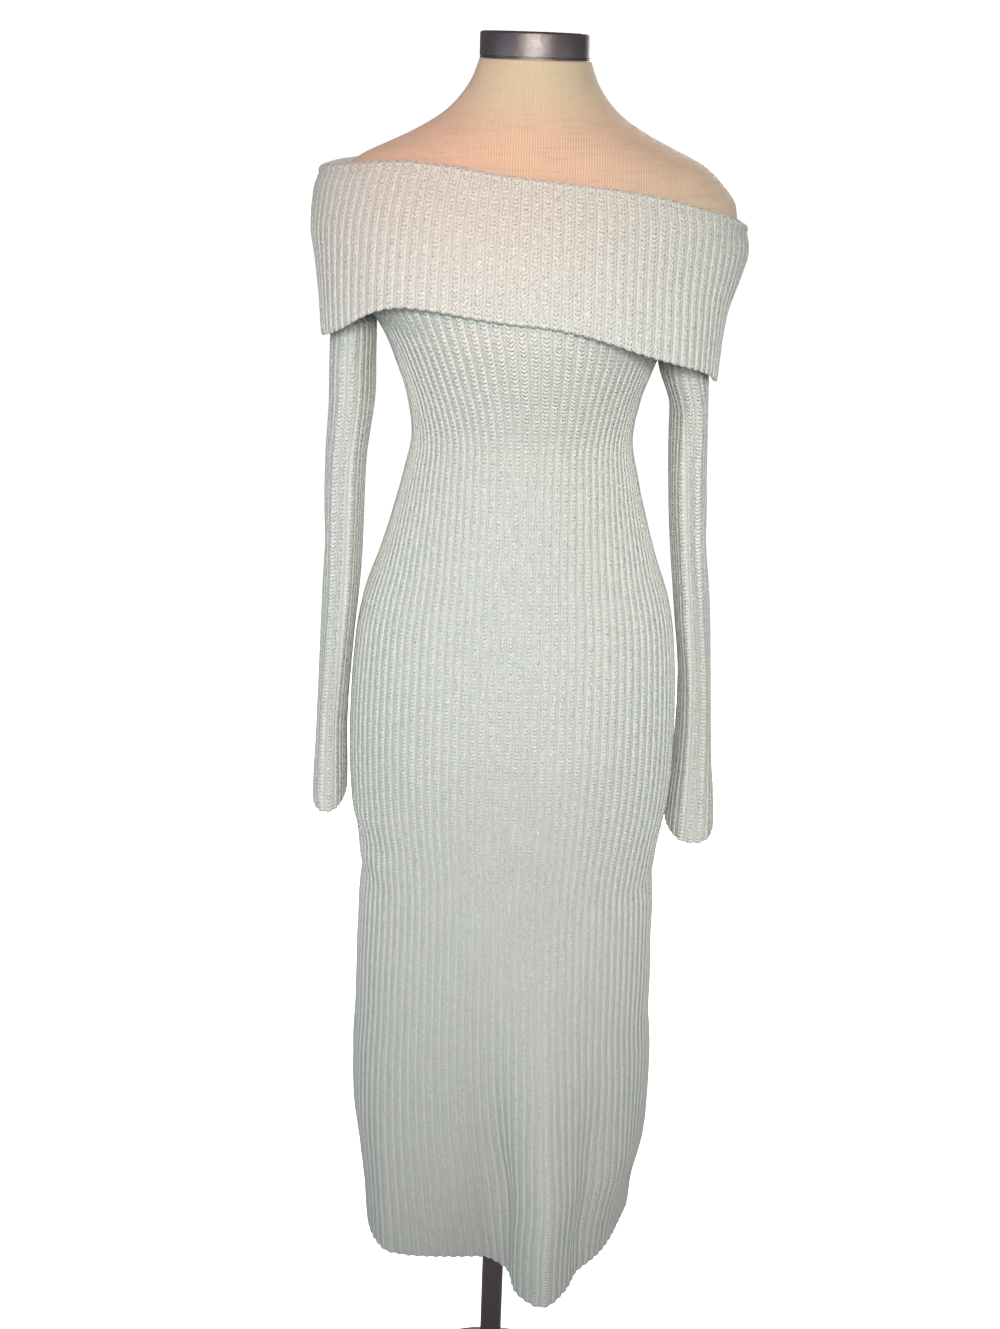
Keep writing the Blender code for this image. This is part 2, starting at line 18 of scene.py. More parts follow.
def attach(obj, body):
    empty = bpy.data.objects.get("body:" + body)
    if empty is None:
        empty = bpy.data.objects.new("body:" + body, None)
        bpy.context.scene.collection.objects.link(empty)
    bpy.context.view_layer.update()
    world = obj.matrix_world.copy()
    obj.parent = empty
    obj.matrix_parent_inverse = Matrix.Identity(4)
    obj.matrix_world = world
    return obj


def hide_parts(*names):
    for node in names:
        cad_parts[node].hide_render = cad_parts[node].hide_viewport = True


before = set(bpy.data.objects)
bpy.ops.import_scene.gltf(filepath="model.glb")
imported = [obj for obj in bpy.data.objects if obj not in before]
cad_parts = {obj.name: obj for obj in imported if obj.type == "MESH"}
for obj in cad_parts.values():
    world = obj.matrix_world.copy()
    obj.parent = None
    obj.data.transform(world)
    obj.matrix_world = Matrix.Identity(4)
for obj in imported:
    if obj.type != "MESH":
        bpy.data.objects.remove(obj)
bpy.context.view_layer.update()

# Cloth
WALL = 0.0024
RIB_RELIEF = 0.0012
SEAM_GAP = 0.0004
LAYER_GAP = 0.0008
LAP_GAP = 0.0012
BODY_RIBS = 50
SLEEVE_RIBS = 24
COLLAR_RIBS = 110
FINE_STEPS = 480

# The finer mesh: points to a rib, steps across the plain inside, and rows down each piece
RIB_POINTS = 8
PLAIN_STEPS = 80
HEAD_ROWS = 16
BODY_ROWS = 134
SLEEVE_ROWS = 92
FORM_STEPS = 192
TURNED_STEPS = 128

# Rounded ribs: their height, how broad their crests are and how far they drift
RIB_HEIGHT = 0.0014
SLEEVE_RIB_HEIGHT = 0.0009
CREST_POWER = 0.85
DRIFT = 0.0009

# Knitted edges: how far up an edge is rounded, the share of the wall left at its end, its last
# rows, and how far crests hang below grooves in the lowest stretch
EDGE_ROUND = 0.0034
EDGE_LEFT = 0.35
EDGE_ROWS = (0.0018, 0.0006, 0.0)
EDGE_STRETCH = 0.004
CREST_SAG = 0.0009

# How far a crease presses the outer and the inner face in over the form, and how far below the
# form's underside the cloth starts to hang free
OUTER_PRESS = 0.0007
INNER_PRESS = 0.0004
FREE_BELOW = 0.01

# Pitch of the stitches down the knit, and across and down the dress form's jersey
COURSE = 0.0038
JERSEY_WALE = 0.0024
JERSEY_COURSE = 0.0015

# Studio
FLOOR_GLOW = 0.78
ROOM = 14.0
SOFT_WHITE = (0.98, 0.99, 1.0, 1.0)

# Heights of the dress
HEM_HEIGHT = 0.28
FOLD_START = 0.76
FOLD_GROWTH = 1.5
SKIRT_TOP = 0.87
UNDERARM_HEIGHT = 1.345
NECKLINE_HEIGHT = 1.43

# Dress form and stand
CAP_RADIUS = 0.0505
CAP_BOTTOM = 1.5938
CAP_TOP = 1.617
FORM_BOTTOM = 0.815
FORM_TOP = 1.5935
POLE_RADIUS = 0.0125
FLANGE_RADIUS = 0.045
FLANGE_HEIGHT = 0.006
BASE_RADIUS = 0.150
BASE_EDGE = 0.008
BASE_HEIGHT = 0.014
HUB_RADIUS = 0.026
HUB_HEIGHT = 0.040
PART_GAP = 0.0003


def table(columns, *rows):
    """Named columns from rows of numbers, in rising order of the first column."""
    names = columns.split()
    ordered = sorted(rows)
    return {name: np.array([row[i] for row in ordered], float) for i, name in enumerate(names)}


# The dress form's sections: half width, and depth in front of and behind its axis
FIGURE = table(
    "height half_width front back power",
    (0.815, 0.134, 0.074, 0.084, 2.2),
    (0.822, 0.149, 0.087, 0.097, 2.2),
    (0.840, 0.158, 0.094, 0.105, 2.2),
    (0.868, 0.1625, 0.099, 0.112, 2.2),
    (0.913, 0.1645, 0.103, 0.118, 2.2),
    (0.950, 0.164, 0.105, 0.121, 2.2),
    (1.002, 0.1615, 0.105, 0.120, 2.2),
    (1.055, 0.156, 0.102, 0.115, 2.2),
    (1.089, 0.149, 0.099, 0.109, 2.15),
    (1.128, 0.135, 0.095, 0.101, 2.1),
    (1.177, 0.120, 0.089, 0.092, 2.1),
    (1.212, 0.111, 0.086, 0.087, 2.1),
    (1.252, 0.103, 0.085, 0.085, 2.1),
    (1.290, 0.108, 0.095, 0.088, 2.1),
    (1.320, 0.117, 0.107, 0.093, 2.1),
    (1.345, 0.126, 0.116, 0.098, 2.15),
    (1.360, 0.134, 0.120, 0.100, 2.15),
    (1.385, 0.154, 0.122, 0.103, 2.2),
    (1.410, 0.170, 0.118, 0.105, 2.2),
    (1.430, 0.182, 0.110, 0.105, 2.2),
    (1.448, 0.189, 0.102, 0.103, 2.2),
    (1.460, 0.192, 0.097, 0.100, 2.2),
    (1.473, 0.190, 0.091, 0.098, 2.2),
    (1.493, 0.175, 0.083, 0.093, 2.2),
    (1.508, 0.157, 0.077, 0.086, 2.2),
    (1.519, 0.134, 0.072, 0.080, 2.2),
    (1.533, 0.105, 0.066, 0.072, 2.1),
    (1.548, 0.081, 0.060, 0.064, 2.0),
    (1.562, 0.067, 0.056, 0.058, 2.0),
    (1.577, 0.057, 0.0525, 0.053, 2.0),
    (1.5935, 0.0505, 0.0505, 0.0505, 2.0),
)

# The gap between the dress form and the cloth over it, wider where the form turns quickly
LAYERS = table(
    "height gap",
    (0.80, LAYER_GAP),
    (1.25, LAYER_GAP),
    (1.33, 0.0022),
    (1.39, 0.0042),
    (1.45, 0.0038),
    (1.50, 0.0024),
)

# The skirt's inner face below the dress form, where the cloth hangs free
SKIRT = table(
    "height half_width front back centre_x power",
    (0.280, 0.157, 0.080, 0.088, 0.002, 2.3),
    (0.328, 0.158, 0.082, 0.088, 0.002, 2.3),
    (0.407, 0.165, 0.085, 0.090, 0.004, 2.3),
    (0.464, 0.168, 0.086, 0.092, 0.002, 2.2),
    (0.544, 0.166, 0.088, 0.095, 0.001, 2.2),
    (0.609, 0.161, 0.089, 0.098, 0.0, 2.2),
    (0.673, 0.159, 0.090, 0.101, 0.0, 2.2),
    (0.738, 0.156, 0.091, 0.104, 0.0, 2.2),
    (0.790, 0.154, 0.093, 0.107, 0.0, 2.2),
    (0.870, 0.1633, 0.100, 0.113, 0.0, 2.2),
)

# The hem's inner edge in plan, by share of the way round each panel
HEM_FRONT = table(
    "share x y",
    (0.000, -0.154, 0.062),
    (0.110, -0.146, 0.012),
    (0.190, -0.122, -0.027),
    (0.270, -0.088, -0.032),
    (0.360, -0.048, -0.031),
    (0.430, -0.012, -0.029),
    (0.490, 0.014, -0.050),
    (0.560, 0.028, -0.088),
    (0.620, 0.055, -0.107),
    (0.680, 0.079, -0.085),
    (0.760, 0.101, -0.049),
    (0.860, 0.131, -0.003),
    (1.000, 0.160, 0.070),
)
HEM_BACK = table(
    "share x y",
    (0.00, 0.160, 0.070),
    (0.09, 0.158, 0.104),
    (0.20, 0.124, 0.121),
    (0.32, 0.080, 0.108),
    (0.44, 0.030, 0.088),
    (0.56, -0.020, 0.098),
    (0.68, -0.062, 0.116),
    (0.80, -0.105, 0.112),
    (0.92, -0.143, 0.092),
    (1.00, -0.154, 0.062),
)

# How far the rows drop towards the wearer's left, how much closer the ribs lie at a panel's
# sides, and the angle from the middle of a panel to its side edge
PANEL = table(
    "height drop crowding reach",
    (0.280, 0.0, 0.0, 90.0),
    (1.000, 0.0, 0.0, 90.0),
    (1.090, 0.0, 0.05, 90.0),
    (1.180, 0.0, 0.18, 90.0),
    (1.250, 0.0, 0.27, 90.0),
    (1.345, 0.015, 0.30, 90.0),
    (1.365, 0.0165, 0.28, 77.0),
    (1.385, 0.018, 0.25, 71.0),
    (1.430, 0.020, 0.20, 55.0),
)

# Each sleeve's inner face: centre, half width across, half depth front to back, depth of
# the long fold in its front edge, and how far its front hangs below its back
SLEEVE_LEFT = table(
    "height centre_x centre_y half_width half_depth fold dip",
    (0.830, 0.1950, 0.026, 0.0235, 0.050, 0.005, 0.007),
    (0.855, 0.1945, 0.025, 0.0220, 0.049, 0.007, 0.006),
    (0.920, 0.1925, 0.023, 0.0160, 0.046, 0.008, 0.0),
    (1.000, 0.1880, 0.018, 0.0135, 0.044, 0.009, 0.0),
    (1.080, 0.1790, 0.013, 0.0150, 0.043, 0.010, 0.0),
    (1.160, 0.1695, 0.009, 0.0155, 0.044, 0.011, 0.0),
    (1.240, 0.1630, 0.005, 0.0155, 0.047, 0.010, 0.0),
    (1.330, 0.1585, 0.0, 0.0140, 0.050, 0.0, 0.0),
)
SLEEVE_RIGHT = table(
    "height centre_x centre_y half_width half_depth fold dip",
    (0.864, 0.1900, -0.004, 0.0145, 0.045, 0.003, 0.005),
    (0.890, 0.1893, -0.004, 0.0140, 0.045, 0.005, 0.003),
    (0.950, 0.1870, -0.004, 0.0122, 0.043, 0.006, 0.0),
    (1.030, 0.1820, -0.004, 0.0135, 0.042, 0.007, 0.0),
    (1.116, 0.1758, -0.003, 0.0158, 0.043, 0.008, 0.0),
    (1.219, 0.1722, -0.002, 0.0168, 0.046, 0.008, 0.0),
    (1.298, 0.1652, -0.001, 0.0190, 0.049, 0.004, 0.0),
    (1.360, 0.1650, 0.0, 0.0175, 0.048, 0.0, 0.0),
)

# How far out each sleeve's head stands, the share of its height at which it stands furthest,
# and the height over which the tube below takes up its shape
SLEEVE_HEAD_LEFT = 0.1745
SLEEVE_HEAD_RIGHT = 0.1872
HEAD_OPEN = 0.47
HEAD_BLEND = 0.05

# Where round a sleeve its long fold lies, and how far it spreads
FOLD_TURN = 88.0
FOLD_SPREAD = 27.0

# The collar's outer face, by share of the way from its fold to its lower edge
COLLAR = table(
    "share right left front back power",
    (0.00, 0.1880, 0.1985, 0.0930, 0.1060, 2.2),
    (0.06, 0.1965, 0.2030, 0.0985, 0.1110, 2.2),
    (0.17, 0.2020, 0.2060, 0.1060, 0.1160, 2.2),
    (0.36, 0.2040, 0.1990, 0.1180, 0.1200, 2.3),
    (0.56, 0.1995, 0.1895, 0.1280, 0.1210, 2.5),
    (0.78, 0.1955, 0.1850, 0.1340, 0.1210, 2.7),
    (1.00, 0.1932, 0.1830, 0.1370, 0.1200, 2.8),
)
FOLD_DEPTH = 0.008
COLLAR_HOLLOW = 0.0020

# The collar's levels outside and back up inside, and the share of its rise that a roll reaches
COLLAR_START = 0.06
COLLAR_OUTSIDE = np.concatenate([np.linspace(COLLAR_START, 0.97, 32), [0.985, 0.995, 1.0]])
COLLAR_INSIDE = (1.0, 0.97, 0.8, 0.6, 0.4, 0.22, COLLAR_START)
ROLL_SHARE = 0.75

# The ribs' relief at the end of the collar's roll, and the share of its height over which its
# lower edge thins, by how much, and how far crests hang below grooves there
ROLL_RELIEF = 0.0005
COLLAR_EDGE = 0.03
COLLAR_THIN = 0.0012
COLLAR_SAG = 0.0012

# The collar's fold and its lower edge round the body
COLLAR_LINE = table(
    "angle top bottom",
    (-180.0, 1.494, 1.362),
    (-150.0, 1.502, 1.362),
    (-120.0, 1.503, 1.354),
    (-90.0, 1.500, 1.347),
    (-60.0, 1.504, 1.359),
    (-30.0, 1.508, 1.387),
    (0.0, 1.497, 1.377),
    (30.0, 1.486, 1.351),
    (60.0, 1.467, 1.332),
    (90.0, 1.458, 1.313),
    (120.0, 1.466, 1.325),
    (150.0, 1.482, 1.345),
)


def smooth(points, column, at):
    """Monotone cubic through one column of a table, at one value or an array of them."""
    x = points[list(points)[0]]
    y = points[column]
    slopes = np.diff(y) / np.diff(x)
    before = np.concatenate(([slopes[0]], slopes))
    after = np.concatenate((slopes, [slopes[-1]]))
    same_way = before * after > 0
    total = np.where(same_way, before + after, 1.0)
    tangents = np.where(same_way, 2.0 * before * after / total, 0.0)
    at = np.clip(np.asarray(at, float), x[0], x[-1])
    i = np.clip(np.searchsorted(x, at) - 1, 0, len(x) - 2)
    span = x[i + 1] - x[i]
    t = (at - x[i]) / span
    value = (2 * t**3 - 3 * t**2 + 1) * y[i] + (3 * t**2 - 2 * t**3) * y[i + 1]
    value += (t**3 - 2 * t**2 + t) * span * tangents[i]
    return value + (t**3 - t**2) * span * tangents[i + 1]


def round_smooth(points, column, angle):
    """Smooth value round the body from a table whose angles are evenly spaced."""
    values = points[column]
    step = 360.0 / len(values)
    place = (np.asarray(angle, float) - points["angle"][0]) / step
    i = np.floor(place).astype(int)
    t = place - i
    before, first, second, after = (values[(i + k) % len(values)] for k in (-1, 0, 1, 2))
    bend = 2 * before - 5 * first + 4 * second - after
    twist = 3 * (first - second) + after - before
    return first + 0.5 * t * (second - before + t * (bend + t * twist))


def rounded(angle, half_width, front, back, power):
    """Point of an oval section, with x across and y towards the back."""
    s = np.sin(np.radians(angle))
    c = np.cos(np.radians(angle))
    depth = np.where(c > 0, front, back)
    x = half_width * np.sign(s) * np.abs(s) ** (2.0 / power)
    y = -depth * np.sign(c) * np.abs(c) ** (2.0 / power)
    return x, y


def clearance(height):
    """Gap between the dress form and the cloth."""
    return smooth(LAYERS, "gap", height)


def figure_point(angle, height, gap):
    """A point a gap outside the dress form."""
    x, y = rounded(
        angle,
        smooth(FIGURE, "half_width", height) + gap,
        smooth(FIGURE, "front", height) + gap,
        smooth(FIGURE, "back", height) + gap,
        smooth(FIGURE, "power", height),
    )
    return np.stack([x, y, np.broadcast_to(height, x.shape)], -1)


def clear_of_figure(points, gap):
    """Moves points that are nearer to the dress form than a gap out to that gap."""
    x, y, z = points.T
    power = smooth(FIGURE, "power", z)
    width = smooth(FIGURE, "half_width", z) + gap
    depth = smooth(FIGURE, "back", z) + gap
    depth = np.where(y < 0, smooth(FIGURE, "front", z) + gap, depth)
    reach = (np.abs(x / width) ** power + np.abs(y / depth) ** power) ** (1.0 / power)
    push = np.maximum(1.0, 1.0 / reach)
    return np.stack([x * push, y * push, z], -1)


def row_height(row, angle):
    """Height of a row round the body, lower towards the wearer's left."""
    return row - smooth(PANEL, "drop", row) * np.sin(np.radians(angle))


def plan_normals(line, closed=False):
    """Outward directions in plan along a line that runs anticlockwise seen from above."""
    if closed:
        ring = line[:-1]
        along = np.roll(ring, -1, 0) - np.roll(ring, 1, 0)
        along = np.vstack([along, along[:1]])
    else:
        along = np.gradient(line, axis=0)
    normals = np.stack([along[:, 1], -along[:, 0], np.zeros(len(line))], -1)
    return normals / np.linalg.norm(normals, axis=1)[:, None]


def along_line(line, shares, closed=False):
    """Points and outward directions at shares of a line's length."""
    steps = np.linalg.norm(np.diff(line, axis=0), axis=1)
    length = np.concatenate(([0.0], np.cumsum(steps)))
    at = np.asarray(shares) * length[-1]
    normals = plan_normals(line, closed)
    points = np.stack([np.interp(at, length, line[:, i]) for i in range(3)], -1)
    turned = np.stack([np.interp(at, length, normals[:, i]) for i in range(3)], -1)
    return points, turned / np.linalg.norm(turned, axis=1)[:, None]


def skirt_line(row, angle):
    """The hanging skirt's inner face along one row, without its folds."""
    x, y = rounded(
        angle,
        smooth(SKIRT, "half_width", row),
        smooth(SKIRT, "front", row),
        smooth(SKIRT, "back", row),
        smooth(SKIRT, "power", row),
    )
    return np.stack([x + smooth(SKIRT, "centre_x", row), y, np.full(x.shape, row)], -1)


def panel_line(row, centre):
    """The inner face of the front, centre 0, or back, centre 180, along one row."""
    reach = smooth(PANEL, "reach", row)
    angle = np.linspace(centre - reach, centre + reach, FINE_STEPS + 1)
    if row >= SKIRT_TOP:
        height = row_height(row, angle)
        return figure_point(angle, height, clearance(height))
    even = np.linspace(0.0, 1.0, FINE_STEPS + 1)
    line = along_line(skirt_line(row, angle), even)[0]
    plain_hem = along_line(skirt_line(HEM_HEIGHT, angle), even)[0]
    hem = HEM_FRONT if centre == 0.0 else HEM_BACK
    folded = np.stack([smooth(hem, "x", even), smooth(hem, "y", even), plain_hem[:, 2]], -1)
    folded_hem = along_line(folded, even)[0]
    grown = np.clip((FOLD_START - row) / (FOLD_START - HEM_HEIGHT), 0.0, 1.0) ** FOLD_GROWTH
    return line + (folded_hem - plain_hem) * grown


def trimmed(line, shares, gap):
    """Draws shares in from both ends of a line by a gap."""
    length = np.linalg.norm(np.diff(line, axis=0), axis=1).sum()
    return np.clip(shares, gap / length, 1.0 - gap / length)


def head_ends(row, side):
    """Where a sleeve's front and back edges lap the edges of the armhole, along one row."""
    reach = smooth(PANEL, "reach", row)
    angle = side * np.array([reach, 180.0 - reach])
    height = row_height(row, angle)
    return figure_point(angle, height, clearance(height) + WALL + RIB_RELIEF + LAP_GAP)


def head_line(row, side, sizes):
    """A sleeve's inner face along one row above the underarm, from front to back."""
    reach = smooth(PANEL, "reach", row)
    angle = np.linspace(reach, 180.0 - reach, FINE_STEPS + 1) * side
    height = row_height(row, angle)
    hugging = figure_point(angle, height, clearance(height))
    rise = (row - UNDERARM_HEIGHT) / (NECKLINE_HEIGHT - UNDERARM_HEIGHT)
    opened = min(1.0, rise / HEAD_OPEN)
    low = sizes["centre_x"][-1] + sizes["half_width"][-1]
    high = SLEEVE_HEAD_LEFT if side > 0 else SLEEVE_HEAD_RIGHT
    far = low + (high - low) * opened
    opened_row = UNDERARM_HEIGHT + HEAD_OPEN * (NECKLINE_HEIGHT - UNDERARM_HEIGHT)
    halves = []
    for end, widest, way in zip(head_ends(row, side), head_ends(opened_row, side), (-1.0, 1.0)):
        depth = sizes["half_depth"][-1] * (1.0 - opened) + abs(widest[1]) * opened
        start = math.asin(min(1.0, abs(end[1]) / depth))
        near = abs(end[0]) + (WALL + RIB_RELIEF) * (1.0 - opened)
        width = (far - near) / (1.0 + math.cos(start))
        turn = np.linspace(start, math.pi, FINE_STEPS // 2 + 1)
        x = side * (far - width - width * np.cos(turn))
        halves.append(np.stack([x, way * depth * np.sin(turn)], -1))
    standing = np.vstack([halves[0], halves[1][-2::-1]])
    standing = np.concatenate([standing, height[:, None]], 1)
    hug = max(0.0, (rise - HEAD_OPEN) / (1.0 - HEAD_OPEN))
    return standing + (hugging - standing) * hug


def tube_line(sizes, side, height):
    """A sleeve's inner face below the underarm, from its body side by its front."""
    get = {name: smooth(sizes, name, height) for name in sizes}
    turn = np.linspace(0.0, 360.0, FINE_STEPS + 1)
    radians = np.radians(turn)
    fold = get["fold"] * np.exp(-(((turn - FOLD_TURN) / FOLD_SPREAD) ** 2))
    x = side * (get["centre_x"] - get["half_width"] * np.cos(radians))
    y = get["centre_y"] - (get["half_depth"] - fold) * np.sin(radians)
    return np.stack([x, y, height - get["dip"] * np.sin(radians)], -1)


def collar_outer(angle, level):
    """The collar's outer face at a share of the way from its fold to its lower edge."""
    wide = np.where(
        np.sin(np.radians(angle)) > 0,
        smooth(COLLAR, "left", level),
        smooth(COLLAR, "right", level),
    )
    x, y = rounded(
        angle,
        wide,
        smooth(COLLAR, "front", level),
        smooth(COLLAR, "back", level),
        smooth(COLLAR, "power", level),
    )
    top = round_smooth(COLLAR_LINE, "top", angle)
    bottom = round_smooth(COLLAR_LINE, "bottom", angle)
    line = np.stack([x, y, top + (bottom - top) * level], -1)
    return clear_of_figure(line, clearance(line[:, 2]) + 2 * WALL + RIB_RELIEF + COLLAR_HOLLOW)


def collar_inner(angle, level):
    """The collar's face against the form, from the neckline, 0, to below the fold, 1."""
    low = row_height(NECKLINE_HEIGHT, angle) + SEAM_GAP
    high = round_smooth(COLLAR_LINE, "top", angle) - FOLD_DEPTH
    height = low + (high - low) * level
    return figure_point(angle, height, clearance(height))


# Creases of the body: where round the body and how high each lies, how deep it goes and how
# far it spreads. A negative depth stands proud.
CREASES = table(
    "angle height depth turn rise",
    (-72.0, 0.854, -0.0020, 20.0, 0.013),
    (-64.0, 0.800, -0.0026, 22.0, 0.014),
    (-84.0, 0.782, 0.0020, 16.0, 0.014),
    (-30.0, 0.700, 0.0014, 14.0, 0.030),
    (70.0, 0.779, 0.0024, 22.0, 0.013),
    (-4.0, 0.400, 0.0100, 7.5, 0.115),
    (20.0, 0.380, -0.0040, 9.0, 0.140),
    (42.0, 0.390, 0.0095, 7.0, 0.120),
    (60.0, 0.430, -0.0024, 9.0, 0.100),
    (-32.0, 0.330, -0.0022, 16.0, 0.060),
    (100.0, 0.700, 0.0018, 20.0, 0.030),
    (160.0, 0.790, 0.0050, 40.0, 0.018),
    (205.0, 0.772, 0.0042, 36.0, 0.016),
    (-38.0, 1.275, 0.0009, 14.0, 0.022),
    (30.0, 1.235, 0.0007, 16.0, 0.020),
    (150.0, 1.235, 0.0014, 26.0, 0.014),
    (190.0, 1.262, 0.0016, 30.0, 0.013),
    (225.0, 1.215, 0.0011, 24.0, 0.014),
)

# Creases of the sleeves, with the turn round the tube from its body side by its front
SLEEVE_CREASES = table(
    "turn height depth spread rise",
    (60.0, 1.275, 0.0020, 26.0, 0.050),
    (125.0, 1.215, 0.0022, 22.0, 0.060),
    (40.0, 1.130, 0.0016, 24.0, 0.045),
    (112.0, 1.060, 0.0020, 20.0, 0.060),
    (150.0, 1.140, 0.0018, 26.0, 0.030),
    (70.0, 0.960, 0.0016, 22.0, 0.060),
    (215.0, 1.150, 0.0022, 30.0, 0.030),
    (250.0, 1.030, 0.0018, 30.0, 0.050),
    (290.0, 1.240, 0.0018, 30.0, 0.050),
)

# How high the collar's ribs stand, from its fold to its lower edge
COLLAR_RELIEF = table(
    "share relief",
    (0.00, 0.0003),
    (0.15, 0.0005),
    (0.40, 0.0009),
    (1.00, 0.0013),
)


def crests(ribs):
    """0 in each rib's groove and 1 on its crest, from places counted in ribs."""
    return (0.5 - 0.5 * np.cos(2.0 * math.pi * ribs)) ** CREST_POWER


def crowded(side, row):
    """Shares of a panel's line from even places, -1 to 1, that lie closer at its sides."""
    crowding = smooth(PANEL, "crowding", row)
    return 0.5 + 0.5 * ((1.0 + crowding) * side - crowding * side**3)


def ribs_across(row, centre, shares):
    """Places along a panel's line, counted in ribs that run straight on past the armhole."""
    even = np.linspace(-1.0, 1.0, FINE_STEPS + 1)
    at = crowded(even, row)
    reach = smooth(PANEL, "reach", row)
    full = shares
    if reach < 90.0:
        angle = np.linspace(centre - 90.0, centre + 90.0, FINE_STEPS + 1)
        height = row_height(row, angle)
        whole = figure_point(angle, height, clearance(height))
        steps = np.linalg.norm(np.diff(whole, axis=0), axis=1)
        length = np.concatenate(([0.0], np.cumsum(steps)))
        ends = np.interp((-reach, reach), angle - centre, length) / length[-1]
        full = ends[0] + (ends[1] - ends[0]) * shares
    return BODY_RIBS * (0.5 + 0.5 * np.interp(full, at, even))


def wander(along, across):
    """Slow uneven drift, from -1 to 1, that keeps knitted ribs from being ruled lines."""
    drift = np.sin(7.3 * along + 2.9 * across) + np.sin(17.1 * along - 5.3 * across + 1.7)
    return (drift + np.sin(31.0 * along + 9.7 * across + 0.6)) / 3.0


def bulges(creases, around, height):
    """How far creases move the cloth outward, where the angle wraps at a full turn."""
    moved = np.zeros(np.broadcast(around, height).shape)
    for place, level, depth, spread, rise in zip(*creases.values()):
        off = (around - place + 180.0) % 360.0 - 180.0
        moved -= depth * np.exp(-((off / spread) ** 2) - ((height - level) / rise) ** 2)
    return moved


def quads(grid):
    """Faces of a grid of point numbers."""
    corners = (grid[:-1, :-1], grid[:-1, 1:], grid[1:, 1:], grid[1:, :-1])
    return np.stack(corners, -1).reshape(-1, 4).tolist()


def zipped(first, second):
    """Triangles between two lines of point numbers whose counts may differ."""
    faces = []
    i, j = 0, 0
    while i < len(first) - 1 or j < len(second) - 1:
        ahead = (i + 1) * (len(second) - 1) <= (j + 1) * (len(first) - 1)
        if (ahead and i < len(first) - 1) or j == len(second) - 1:
            faces.append((first[i], first[i + 1], second[j]))
            i += 1
        else:
            faces.append((first[i], second[j + 1], second[j]))
            j += 1
    return faces


def cloth_piece(name, points, marks, faces, same, material):
    """A mesh from points with their knit coordinates. Same gives the point each is joined to."""
    used, number = np.unique(same, return_inverse=True)
    mesh = bpy.data.meshes.new(name)
    mesh.from_pydata(points[used].tolist(), [], [[number[i] for i in face] for face in faces])
    flat = np.array([i for face in faces for i in face])
    knit = mesh.uv_layers.new(name="knit")
    knit.data.foreach_set("uv", marks[flat].astype(np.float32).ravel())
    bm = bmesh.new()
    bm.from_mesh(mesh)
    bmesh.ops.recalc_face_normals(bm, faces=bm.faces)
    bm.to_mesh(mesh)
    bm.free()
    mesh.shade_smooth()
    mesh.materials.append(material)
    piece = bpy.data.objects.new(name, mesh)
    bpy.context.scene.collection.objects.link(piece)
    return piece


def wall_piece(name, outer, inner, outer_marks, inner_marks, material, closed_from=None):
    """A cloth wall between two grids, open at its sides above the row where it closes."""
    rows, wide, plain = len(outer), outer.shape[1], inner.shape[1]
    front = np.arange(rows * wide).reshape(rows, wide)
    back = np.arange(rows * plain).reshape(rows, plain) + rows * wide
    same = np.arange(rows * (wide + plain))
    if closed_from is not None:
        same[front[closed_from:, -1]] = front[closed_from:, 0]
        same[back[closed_from:, -1]] = back[closed_from:, 0]
    faces = quads(front) + quads(back)
    faces += zipped(front[0].tolist(), back[0].tolist())
    faces += zipped(front[-1].tolist(), back[-1].tolist())
    for end in (0, -1):
        for k in range(rows - 1 if closed_from is None else closed_from):
            faces.append((front[k, end], front[k + 1, end], back[k + 1, end], back[k, end]))
    points = np.vstack([outer.reshape(-1, 3), inner.reshape(-1, 3)])
    marks = np.vstack([outer_marks.reshape(-1, 2), inner_marks.reshape(-1, 2)])
    return cloth_piece(name, points, marks, faces, same, material)


def edge_rows(high, low, count):
    """Even heights from high to low, and close ones that round the lower edge."""
    body = np.linspace(high, low + EDGE_ROUND, count)
    return np.concatenate([body, low + np.array(EDGE_ROWS)])


def edge_round(rows):
    """Share of a wall's thickness that is left at each row, less at its rounded lower edge."""
    off = np.clip((rows - rows[-1]) / EDGE_ROUND, 0.0, 1.0)
    return EDGE_LEFT + (1.0 - EDGE_LEFT) * np.sqrt(1.0 - (1.0 - off) ** 2)


